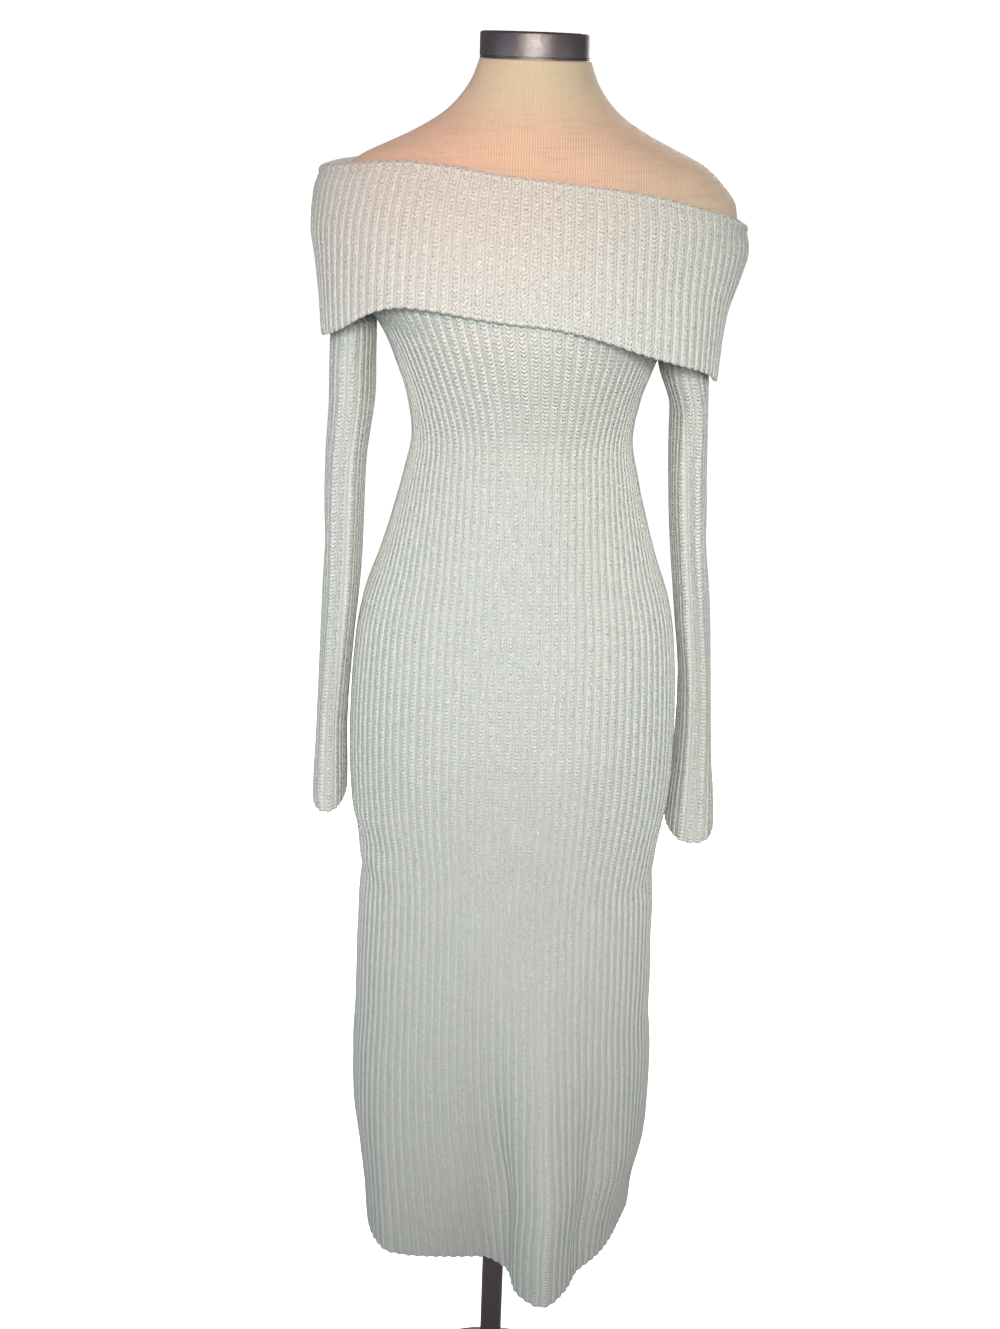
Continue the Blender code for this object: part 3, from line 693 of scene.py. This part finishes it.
def body_panel(name, centre, material):
    """The front, centre 0, or the back, centre 180."""
    head = np.linspace(NECKLINE_HEIGHT, UNDERARM_HEIGHT, HEAD_ROWS)[:-1]
    rows = np.concatenate([head, edge_rows(UNDERARM_HEIGHT, HEM_HEIGHT, BODY_ROWS)])
    thick = edge_round(rows)
    across = np.linspace(0.0, 1.0, BODY_RIBS * RIB_POINTS + 1)
    outer, inner, marks, under_marks = [], [], [], []
    for row, share in zip(rows, thick):
        line = panel_line(row, centre)
        reach = smooth(PANEL, "reach", row)
        side = 2.0 * across - 1.0
        ribs = crowded(side, row)
        counted = ribs_across(row, centre, ribs)
        crest = crests(counted)
        ribs = ribs + DRIFT * wander(3.0 * row, 5.0 * across) * (1.0 - side**2)
        ribs = trimmed(line, ribs, SEAM_GAP / 2)
        plain = trimmed(line, np.linspace(0.0, 1.0, PLAIN_STEPS + 1), SEAM_GAP / 2)
        relief = RIB_HEIGHT * (1.0 + 0.14 * wander(6.0 * row, 23.0 * across))
        points, normals = along_line(line, ribs)
        under, turned = along_line(line, plain)
        lift = bulges(CREASES, centre + reach * (2.0 * ribs - 1.0), row)
        plain_lift = bulges(CREASES, centre + reach * (2.0 * plain - 1.0), row)
        if row >= FORM_BOTTOM - FREE_BELOW:
            lift = np.maximum(lift, -OUTER_PRESS)
            plain_lift = np.maximum(plain_lift, -INNER_PRESS)
        height = (WALL + relief * crest) * share
        moved = points + normals * (height + lift)[:, None]
        if row < HEM_HEIGHT + EDGE_STRETCH:
            moved[:, 2] -= CREST_SAG * crest
        outer.append(moved)
        inner.append(under + turned * plain_lift[:, None])
        marks.append(marks_of(counted, [row])[0])
        under_marks.append(marks_of(ribs_across(row, centre, plain), [row])[0])
    grids = [np.array(grid) for grid in (outer, inner, marks, under_marks)]
    return wall_piece(name, *grids, material)


def marks_of(across, down):
    """Knit coordinates: ribs across and metres down."""
    return np.stack(np.meshgrid(across, -np.asarray(down)), -1)


def sleeve(name, sizes, side, material):
    """A sleeve, open at its head and closed into a tube from the underarm to the cuff."""
    heads = np.linspace(NECKLINE_HEIGHT, UNDERARM_HEIGHT, HEAD_ROWS)[:-1]
    underarm = sizes["height"][-1]
    cuff = sizes["height"][0]
    tube = edge_rows(underarm, cuff, SLEEVE_ROWS)
    closing = head_line(UNDERARM_HEIGHT, side, sizes)
    join = closing - tube_line(sizes, side, underarm)
    lines = [head_line(row, side, sizes) for row in heads]
    for height in tube:
        kept = np.clip(1.0 - (underarm - height) / HEAD_BLEND, 0.0, 1.0)
        lines.append(tube_line(sizes, side, height) + join * (3 * kept**2 - 2 * kept**3))
    down = np.concatenate([heads, tube])
    thick = np.concatenate([np.ones(len(heads)), edge_round(tube)])
    across = np.linspace(0.0, 1.0, SLEEVE_RIBS * RIB_POINTS + 1)
    under_across = np.linspace(0.0, 1.0, PLAIN_STEPS // 2 + 1)
    crest = crests(across * SLEEVE_RIBS)
    outer, inner = [], []
    for number, (line, share) in enumerate(zip(lines, thick)):
        shut = number >= len(heads)
        ordered = line if side > 0 else line[::-1]
        ribs, plain = across, under_across
        if not shut:
            ribs = trimmed(ordered, ribs, SEAM_GAP / 2)
            plain = trimmed(ordered, plain, SEAM_GAP / 2)
        level = down[number]
        points, normals = along_line(ordered, ribs, shut)
        under, turned = along_line(ordered, plain, shut)
        turn = 360.0 * (ribs if side > 0 else 1.0 - ribs)
        plain_turn = 360.0 * (plain if side > 0 else 1.0 - plain)
        deep = 1.0 if shut else 0.0
        lift = deep * bulges(SLEEVE_CREASES, turn, level)
        plain_lift = deep * bulges(SLEEVE_CREASES, plain_turn, level)
        relief = SLEEVE_RIB_HEIGHT * (1.0 + 0.12 * wander(6.0 * level, 9.0 * across))
        relief[-1] = relief[0]
        moved = points + normals * ((WALL + relief * crest) * share + lift)[:, None]
        if level < cuff + EDGE_STRETCH:
            moved[:, 2] -= CREST_SAG * crest
        outer.append(moved)
        inner.append(under + turned * plain_lift[:, None])
    outer, inner = np.array(outer), np.array(inner)
    outer_marks = marks_of(across * SLEEVE_RIBS, down)
    inner_marks = marks_of(under_across * SLEEVE_RIBS, down)
    return wall_piece(name, outer, inner, outer_marks, inner_marks, material, len(heads))


def closed_ring(line, count, inward):
    """Even points round each half of a closed line, drawn in from it, the last on the first."""
    steps = np.linalg.norm(np.diff(line, axis=0), axis=1)
    front = steps[: len(steps) // 2].sum() / steps.sum()
    shares = np.interp(np.linspace(0.0, 1.0, count + 1), (0.0, 0.5, 1.0), (0.0, front, 1.0))
    points, normals = along_line(line, shares, True)
    moved = points - normals * np.reshape(inward, (-1, 1))
    moved[-1] = moved[0]
    return moved


def rolled(first, last, rise, steps):
    """Lines of a soft roll that leaves one line upward and comes down on another."""
    up = np.array([0.0, 0.0, rise])
    lines = []
    for t in np.linspace(0.0, 1.0, steps + 2)[1:-1]:
        near = (1 - t) ** 3 * first + 3 * (1 - t) ** 2 * t * (first + up)
        lines.append(near + 3 * (1 - t) * t**2 * (last + up) + t**3 * last)
    return lines


def closed_line(line, inward):
    """A closed line drawn in, with its own spacing kept."""
    return line - plan_normals(line, True) * inward


def collar_piece(name, material):
    """The collar, from its seam up the form, over its fold, down outside and back inside."""
    angle = np.linspace(-180.0, 180.0, FINE_STEPS + 1)
    count = COLLAR_RIBS * (RIB_POINTS - 1)
    turn = np.arange(count + 1) / (RIB_POINTS - 1)
    crest = crests(turn)
    leg = [collar_inner(angle, level) for level in np.linspace(0.0, 1.0, 5)]
    shell = [collar_outer(angle, level) for level in COLLAR_OUTSIDE]
    roll = rolled(leg[-1], shell[0], FOLD_DEPTH / ROLL_SHARE, 9)
    rings = []
    for line in leg:
        rings.append(closed_ring(line, count, 0.0))
    for k, line in enumerate(roll):
        relief = ROLL_RELIEF * k / len(roll)
        rings.append(closed_ring(line, count, -relief * crest))
    for level, line in zip(COLLAR_OUTSIDE, shell):
        uneven = 1.0 + 0.12 * wander(3.0 * level, turn / 7.0)
        relief = smooth(COLLAR_RELIEF, "relief", level) * uneven
        edge = np.clip((1.0 - level) / COLLAR_EDGE, 0.0, 1.0)
        thin = COLLAR_THIN * (1.0 - np.sqrt(1.0 - (1.0 - edge) ** 2))
        moved = closed_ring(line, count, RIB_RELIEF - relief * crest + thin)
        moved[:, 2] -= COLLAR_SAG * crest * (1.0 - edge)
        rings.append(moved)
    for level in COLLAR_INSIDE:
        rings.append(closed_ring(collar_outer(angle, level), count, RIB_RELIEF + WALL))
    inner_end = closed_line(collar_outer(angle, COLLAR_START), RIB_RELIEF + WALL)
    leg_end = closed_line(leg[-1], -WALL)
    for line in rolled(inner_end, leg_end, FOLD_DEPTH / ROLL_SHARE - WALL / ROLL_SHARE, 4):
        rings.append(closed_ring(line, count, 0.0))
    for level in (1.0, 0.5, 0.0):
        rings.append(closed_ring(collar_inner(angle, level), count, -WALL))
    rings = np.array(rings)
    steps = np.linalg.norm(np.diff(rings[:, count // 2], axis=0), axis=1)
    down = -np.concatenate(([0.0], np.cumsum(steps)))
    grid = np.arange(rings.shape[0] * (count + 1)).reshape(rings.shape[0], count + 1)
    same = np.arange(grid.size)
    same[grid[:, -1]] = grid[:, 0]
    faces = quads(grid) + quads(np.stack([grid[-1], grid[0]]))
    marks = marks_of(turn, down).reshape(-1, 2)
    return cloth_piece(name, rings.reshape(-1, 3), marks, faces, same, material)


def capped(grid):
    """Faces of a ringed grid with a cap at each end, and the point that each is joined to."""
    numbers = np.arange(grid[:, :, 0].size).reshape(grid.shape[:2])
    same = np.arange(numbers.size)
    same[numbers[:, -1]] = numbers[:, 0]
    return quads(numbers) + [numbers[0, :-1].tolist(), numbers[-1, :-1].tolist()], same


def form_piece(name, material):
    """The dress form's skin, smooth and whole, with its knit running down it."""
    neck = np.linspace(FORM_TOP, 1.44, 60)
    trunk = np.linspace(1.438, 0.830, 90)
    rows = np.concatenate([neck, trunk, np.linspace(0.828, FORM_BOTTOM, 8)])
    angle = np.linspace(-180.0, 180.0, FORM_STEPS + 1)
    grid = np.array([figure_point(angle, np.full(angle.shape, row), 0.0) for row in rows])
    grid[:, -1] = grid[:, 0]
    steps = np.linalg.norm(np.diff(grid, axis=1), axis=2)
    across = np.concatenate([np.zeros((len(rows), 1)), np.cumsum(steps, axis=1)], axis=1)
    middle = FORM_STEPS // 2
    across -= across[:, middle : middle + 1]
    marks = np.stack([across, np.broadcast_to(-rows[:, None], across.shape)], -1)
    faces, same = capped(grid)
    return cloth_piece(name, grid.reshape(-1, 3), marks.reshape(-1, 2), faces, same, material)


def turned_piece(name, profile, material):
    """A turned part from its radii and heights, capped at both ends."""
    angle = np.linspace(0.0, 2.0 * math.pi, TURNED_STEPS + 1)
    across = np.stack([np.sin(angle), -np.cos(angle), 0.0 * angle], -1)
    grid = np.array([across * radius + [0.0, 0.0, height] for radius, height in profile])
    marks = marks_of(angle, [height for _, height in profile])
    faces, same = capped(grid)
    piece = cloth_piece(name, grid.reshape(-1, 3), marks.reshape(-1, 2), faces, same, material)
    piece.data.set_sharp_from_angle(angle=math.radians(35))
    return piece


class Surface:
    """A Principled material whose nodes are added one by one."""

    def __init__(self, name, roughness, metallic=0.0):
        self.material = bpy.data.materials.new(name)
        self.material.use_nodes = True
        self.tree = self.material.node_tree
        self.shader = self.tree.nodes["Principled BSDF"]
        self.shader.inputs["Roughness"].default_value = roughness
        self.shader.inputs["Metallic"].default_value = metallic

    def link(self, value, socket):
        """Gives a socket a number, a colour or another node's output."""
        if isinstance(value, bpy.types.NodeSocket):
            self.tree.links.new(value, socket)
        else:
            socket.default_value = value

    def math(self, operation, *values):
        """Output of one operation on numbers or outputs."""
        node = self.tree.nodes.new("ShaderNodeMath")
        node.operation = operation
        for socket, value in zip(node.inputs, values):
            self.link(value, socket)
        return node.outputs[0]

    def noise(self, scale, detail, place, roughness=0.5):
        """Output of a noise over coordinates."""
        node = self.tree.nodes.new("ShaderNodeTexNoise")
        node.inputs["Scale"].default_value = scale
        node.inputs["Detail"].default_value = detail
        node.inputs["Roughness"].default_value = roughness
        self.tree.links.new(place, node.inputs["Vector"])
        return node.outputs[0]

    def mix(self, factor, first, second):
        """Two colours mixed by a factor."""
        node = self.tree.nodes.new("ShaderNodeMix")
        node.data_type = "RGBA"
        self.link(factor, node.inputs[0])
        self.link(first, node.inputs[6])
        self.link(second, node.inputs[7])
        return node.outputs[2]

    def spread(self, value, low, high, out_low, out_high):
        """A value's range spread over another range."""
        node = self.tree.nodes.new("ShaderNodeMapRange")
        node.inputs[1].default_value = low
        node.inputs[2].default_value = high
        node.inputs[3].default_value = out_low
        node.inputs[4].default_value = out_high
        self.link(value, node.inputs[0])
        return node.outputs[0]

    def stretched(self, scale):
        """Object coordinates, stretched along each axis."""
        place = self.tree.nodes.new("ShaderNodeTexCoord").outputs["Object"]
        node = self.tree.nodes.new("ShaderNodeMapping")
        node.inputs["Scale"].default_value = scale
        self.tree.links.new(place, node.inputs["Vector"])
        return node.outputs[0]

    def marks(self):
        """Knit coordinates, across and down."""
        coordinates = self.tree.nodes.new("ShaderNodeUVMap")
        coordinates.uv_map = "knit"
        parts = self.tree.nodes.new("ShaderNodeSeparateXYZ")
        self.tree.links.new(coordinates.outputs[0], parts.inputs[0])
        return parts.outputs[0], parts.outputs[1]

    def bump(self, height, distance, below=None):
        """Normals bent by a height times a distance in metres, over other normals if given."""
        node = self.tree.nodes.new("ShaderNodeBump")
        node.inputs["Distance"].default_value = distance
        self.link(height, node.inputs["Height"])
        if below is not None:
            self.tree.links.new(below, node.inputs["Normal"])
        return node.outputs[0]

    def sheen(self, weight, roughness, tint):
        """A soft bright nap seen along the surface."""
        self.shader.inputs["Sheen Weight"].default_value = weight
        self.shader.inputs["Sheen Roughness"].default_value = roughness
        self.shader.inputs["Sheen Tint"].default_value = tint

    def done(self, colour, roughness=None, normal=None):
        """The finished material."""
        self.link(colour, self.shader.inputs["Base Color"])
        if roughness is not None:
            self.link(roughness, self.shader.inputs["Roughness"])
        if normal is not None:
            self.link(normal, self.shader.inputs["Normal"])
        return self.material


def rib_knit(name, crest_colour, groove_shade_and_tone, marl_colour):
    """Rib knit: a wale of V stitches on each crest, each purl groove and the gaps between stitches
    painted darker as shade, and a brushed nap.
    """
    s = Surface(name, 0.92)
    across, down = s.marks()
    side = s.math("ABSOLUTE", s.math("SUBTRACT", s.math("FRACT", across), 0.5))
    course = s.math("DIVIDE", down, COURSE)
    chevron = s.math("ADD", course, s.math("MULTIPLY", side, 1.9))
    stitch = s.math("SINE", s.math("MULTIPLY", chevron, 2.0 * math.pi))
    leg = s.math("SINE", s.math("MULTIPLY", side, 4.0 * math.pi))
    loops = s.math("MULTIPLY", s.math("ADD", stitch, 1.0), s.math("ADD", leg, 0.6))
    fibre = s.noise(1300.0, 3.0, s.stretched((1.0, 1.0, 0.6)), 0.6)
    marl = s.noise(620.0, 2.0, s.stretched((1.0, 1.0, 0.7)), 0.6)
    cloud = s.noise(9.0, 2.0, s.stretched((1.0, 1.0, 0.7)))
    fuzz = s.bump(fibre, 0.0011)
    normal = s.bump(loops, 0.00050, fuzz)
    # Painted shade: the grooves between the ribs are painted darker.
    groove = s.spread(side, 0.24, 0.45, 0.0, 0.95)
    colour = s.mix(groove, crest_colour, groove_shade_and_tone)
    # Painted shade: the low parts between the stitches are painted darker.
    stitch_shaded = s.mix(s.spread(stitch, -1.0, 0.3, 0.34, 0.0), colour, groove_shade_and_tone)
    flecked = s.mix(s.spread(marl, 0.40, 0.64, 0.0, 0.80), stitch_shaded, marl_colour)
    clouded = s.mix(s.spread(cloud, 0.3, 0.7, 0.0, 0.10), flecked, groove_shade_and_tone)
    s.sheen(0.25, 0.5, (0.95, 0.95, 0.92, 1.0))
    return s.done(clouded, s.spread(marl, 0.3, 0.7, 0.86, 0.98), normal)


def jersey(name, colour, shade, painted_cap_shade):
    """Fine stretch jersey: wales 2.4 mm apart with painted shade in the grooves between them,
    faint cross wrinkles painted darker as their shade, and a neck painted duller just under the
    cap as the cap's shade.
    """
    s = Surface(name, 0.85)
    across, down = s.marks()
    wale = s.math("SINE", s.math("MULTIPLY", across, 2.0 * math.pi / JERSEY_WALE))
    course = s.math("SINE", s.math("MULTIPLY", down, 2.0 * math.pi / JERSEY_COURSE))
    weave = s.math("ADD", wale, s.math("MULTIPLY", course, 0.35))
    pulled = s.noise(420.0, 2.0, s.stretched((0.07, 0.07, 1.0)))
    wrinkle = s.noise(60.0, 2.0, s.stretched((0.25, 0.25, 1.0)))
    thread = s.noise(1100.0, 2.0, s.stretched((1.0, 1.0, 0.5)), 0.6)
    cloud = s.noise(14.0, 2.0, s.stretched((1.0, 1.0, 1.0)))
    folds = s.bump(wrinkle, 0.0016, s.bump(pulled, 0.0007, s.bump(thread, 0.0004)))
    normal = s.bump(weave, 0.00016, folds)
    # Painted shade: the grooves between the wales are painted darker in the shade colour.
    lined = s.mix(s.spread(wale, -1.0, 0.3, 0.62, 0.0), colour, shade)
    # Painted shade: the cross wrinkles are painted darker along their streaks.
    crossed = s.mix(s.spread(pulled, 0.50, 0.68, 0.0, 0.34), lined, shade)
    mottled = s.mix(s.spread(cloud, 0.3, 0.7, 0.0, 0.20), crossed, shade)
    # Painted shade of the cap: the top of the neck just below the cap is painted duller and
    # greener, fading out lower down.
    height = s.math("ADD", s.math("MULTIPLY", down, -1.0), s.math("MULTIPLY", cloud, 0.03))
    cap_shaded = s.mix(s.spread(height, 1.545, 1.580, 0.0, 0.62), mottled, painted_cap_shade)
    s.sheen(0.20, 0.5, (1.0, 0.95, 0.9, 1.0))
    return s.done(cap_shaded, s.spread(thread, 0.3, 0.7, 0.8, 0.95), normal)


def steel(name, colour, dark, drawn):
    """Brushed steel with fine marks round it and a little handling haze."""
    s = Surface(name, 0.4, 1.0)
    lines = s.noise(260.0, 4.0, s.stretched(drawn), 0.7)
    haze = s.noise(24.0, 3.0, s.stretched((1.0, 1.0, 1.0)))
    normal = s.bump(lines, 0.00016)
    tone = s.mix(s.spread(lines, 0.35, 0.7, 0.0, 0.6), colour, dark)
    grain = s.spread(lines, 0.3, 0.7, 0.27, 0.36)
    rough = s.math("ADD", grain, s.spread(haze, 0.3, 0.7, 0.0, 0.08))
    s.shader.inputs["Anisotropic"].default_value = 0.5
    return s.done(tone, rough, normal)


def floor_paint(name):
    """A matt pale floor."""
    s = Surface(name, 0.9)
    cloud = s.noise(1.3, 2.0, s.stretched((1.0, 1.0, 1.0)))
    s.shader.inputs["Emission Color"].default_value = SOFT_WHITE
    s.shader.inputs["Emission Strength"].default_value = FLOOR_GLOW
    return s.done(s.mix(cloud, (0.88, 0.88, 0.88, 1.0), (0.91, 0.91, 0.91, 1.0)))


def placed(name, lamp, place, target):
    """A lamp at a place, turned to a point."""
    light = bpy.data.objects.new(name, lamp)
    light.location = place
    light.rotation_euler = (Vector(target) - Vector(place)).to_track_quat("-Z", "Y").to_euler()
    bpy.context.scene.collection.objects.link(light)
    return light


def area_light(name, place, target, size, power, colour):
    """A soft lamp that faces a point."""
    lamp = bpy.data.lights.new(name, "AREA")
    lamp.shape = "DISK"
    lamp.size = size
    lamp.energy = power
    lamp.color = colour
    return placed(name, lamp, place, target)


def spot_light(name, place, target, angle, size, power, colour):
    """A lamp with a soft round pool of light."""
    lamp = bpy.data.lights.new(name, "SPOT")
    lamp.spot_size = math.radians(angle)
    lamp.spot_blend = 1.0
    lamp.shadow_soft_size = size
    lamp.energy = power
    lamp.color = colour
    return placed(name, lamp, place, target)


# Camera, at the photograph's place and angle
camera = bpy.data.objects.new("camera", bpy.data.cameras.new("camera"))
camera.data.sensor_fit = "VERTICAL"
camera.data.sensor_height = 36.0
camera.data.lens = 43.72
camera.matrix_world = (
    Matrix.Translation((-0.0144, -1.553, 1.60))
    @ Matrix.Rotation(math.radians(90.0 - 20.8), 4, "X")
    @ Matrix.Rotation(math.radians(1.85), 4, "Z")
)
bpy.context.scene.collection.objects.link(camera)
bpy.context.scene.camera = camera

# Materials
# Ivory rib knit: the crest colour is its own; the second colour is painted shade in the grooves
# and between stitches, and also a random cloudy tone; the third is the marl's fleck colour.
knit = rib_knit(
    "ivory_rib_knit", (0.73, 0.735, 0.68, 1.0), (0.42, 0.44, 0.405, 1.0), (0.48, 0.49, 0.445, 1.0)
)
# Jersey colours: its own beige; a darker colour used as painted shade in the wale grooves and
# cross wrinkles and also as random mottling; and a dull green-grey painted as the cap's shade on
# the top of the neck.
skin = jersey(
    "beige_jersey", (0.57, 0.43, 0.31, 1.0), (0.38, 0.28, 0.20, 1.0), (0.45, 0.42, 0.30, 1.0)
)
# Painted dark reflection: the steel's colours are set dark and plum-brown so that the cap's sides
# look as though they mirror a dim room.
metal = steel(
    "brushed_steel", (0.18, 0.145, 0.15, 1.0), (0.095, 0.072, 0.075, 1.0), (1.0, 1.0, 12.0)
)

# Cloth
front = body_panel("front_knit", 0.0, knit)
back = body_panel("back_knit", 180.0, knit)
left = sleeve("sleeve_left_knit", SLEEVE_LEFT, 1.0, knit)
right = sleeve("sleeve_right_knit", SLEEVE_RIGHT, -1.0, knit)
collar = collar_piece("collar_knit", knit)
torso = form_piece("form_jersey", skin)

# Cap and stand
cap = turned_piece(
    "cap_steel",
    (
        (CAP_RADIUS - 0.0030, CAP_TOP),
        (CAP_RADIUS - 0.0014, CAP_TOP - 0.0003),
        (CAP_RADIUS - 0.0004, CAP_TOP - 0.0011),
        (CAP_RADIUS, CAP_TOP - 0.0024),
        (CAP_RADIUS, CAP_BOTTOM + 0.0024),
        (CAP_RADIUS - 0.0006, CAP_BOTTOM + 0.0020),
        (CAP_RADIUS - 0.0006, CAP_BOTTOM + 0.0014),
        (CAP_RADIUS, CAP_BOTTOM + 0.0010),
        (CAP_RADIUS, CAP_BOTTOM),
    ),
    metal,
)
pole_top = FORM_BOTTOM - PART_GAP
pole = turned_piece(
    "pole_steel",
    (
        (FLANGE_RADIUS - 0.001, pole_top),
        (FLANGE_RADIUS, pole_top - 0.001),
        (FLANGE_RADIUS, pole_top - FLANGE_HEIGHT + 0.001),
        (FLANGE_RADIUS - 0.001, pole_top - FLANGE_HEIGHT),
        (POLE_RADIUS, pole_top - FLANGE_HEIGHT),
        (POLE_RADIUS, HUB_HEIGHT + PART_GAP),
    ),
    metal,
)
base = turned_piece(
    "base_steel",
    (
        (HUB_RADIUS - 0.0030, HUB_HEIGHT),
        (HUB_RADIUS - 0.0009, HUB_HEIGHT - 0.0009),
        (HUB_RADIUS, HUB_HEIGHT - 0.0030),
        (HUB_RADIUS, BASE_HEIGHT + 0.0010),
        (HUB_RADIUS + 0.0012, BASE_HEIGHT - 0.0001),
        (BASE_RADIUS - 0.0030, BASE_EDGE),
        (BASE_RADIUS - 0.0009, BASE_EDGE - 0.0009),
        (BASE_RADIUS, BASE_EDGE - 0.0030),
        (BASE_RADIUS, 0.0),
    ),
    metal,
)

for piece, node, slot in (
    (front, "dress_front", "rib_knit"),
    (back, "dress_back", "rib_knit"),
    (left, "sleeve_left", "rib_knit"),
    (right, "sleeve_right", "rib_knit"),
    (collar, "collar", "rib_knit"),
    (torso, "form_torso", "jersey"),
    (cap, "neck_cap", "brushed_steel"),
    (pole, "stand_pole", "brushed_steel"),
    (base, "stand_base", "brushed_steel"),
):
    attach(piece, "root")
    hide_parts(node)

# Floor with plain far walls. It glows, and is hidden from diffuse and glossy rays, so that
# only the lamps and the world light the dress.
floor_mesh = bpy.data.meshes.new("floor")
corners = [(-ROOM, -ROOM), (ROOM, -ROOM), (ROOM, ROOM), (-ROOM, ROOM)]
room_points = [(x, y, z) for z in (0.0, ROOM) for x, y in corners]
room_faces = [(0, 1, 2, 3)] + [(k, (k + 1) % 4, (k + 1) % 4 + 4, k + 4) for k in range(4)]
floor_mesh.from_pydata(room_points, [], room_faces)
floor_mesh.materials.append(floor_paint("pale_floor"))
floor = bpy.data.objects.new("floor", floor_mesh)
bpy.context.scene.collection.objects.link(floor)
floor.visible_diffuse = False
floor.visible_glossy = False

world = bpy.data.worlds.new("studio")
world.use_nodes = True
sky = world.node_tree
way = sky.nodes.new("ShaderNodeTexCoord")
parts = sky.nodes.new("ShaderNodeSeparateXYZ")
shade = sky.nodes.new("ShaderNodeMapRange")
shade.inputs[1].default_value = -1.0
shade.inputs[2].default_value = 1.0
shade.inputs[3].default_value = 0.44
shade.inputs[4].default_value = 0.26
sky.links.new(way.outputs["Generated"], parts.inputs[0])
sky.links.new(parts.outputs[1], shade.inputs[0])
sky.links.new(shade.outputs[0], sky.nodes["Background"].inputs["Strength"])
sky.nodes["Background"].inputs["Color"].default_value = SOFT_WHITE
bpy.context.scene.world = world
bpy.context.scene.view_settings.view_transform = "Standard"

spot_light("key", (0.0, -1.90, 1.85), (0.01, 0.0, 0.95), 48.0, 0.22, 205.0, (1.0, 1.0, 0.98))
area_light("cool_left", (-1.6, -0.7, 1.25), (0.0, 0.0, 1.25), 0.9, 5.5, (0.58, 0.78, 1.0))
area_light("mint_right", (1.6, -0.9, 1.2), (0.0, 0.0, 1.1), 0.9, 4.0, (0.76, 1.0, 0.93))
area_light("back_fill", (0.7, 2.4, 1.9), (0.0, 0.0, 1.0), 1.6, 90.0, (1.0, 1.0, 0.98))
warm = spot_light(
    "warm_pool", (-0.30, -1.1, 2.2), (-0.04, -0.05, 1.50), 21.0, 0.10, 34.0, (1.0, 0.30, 0.15)
)
warm.visible_glossy = False
spot_light("cap_glint", (-0.22, -1.2, 1.72), (0.0, 0.0, 1.605), 7.0, 0.05, 23.0, (0.80, 1.0, 0.78))
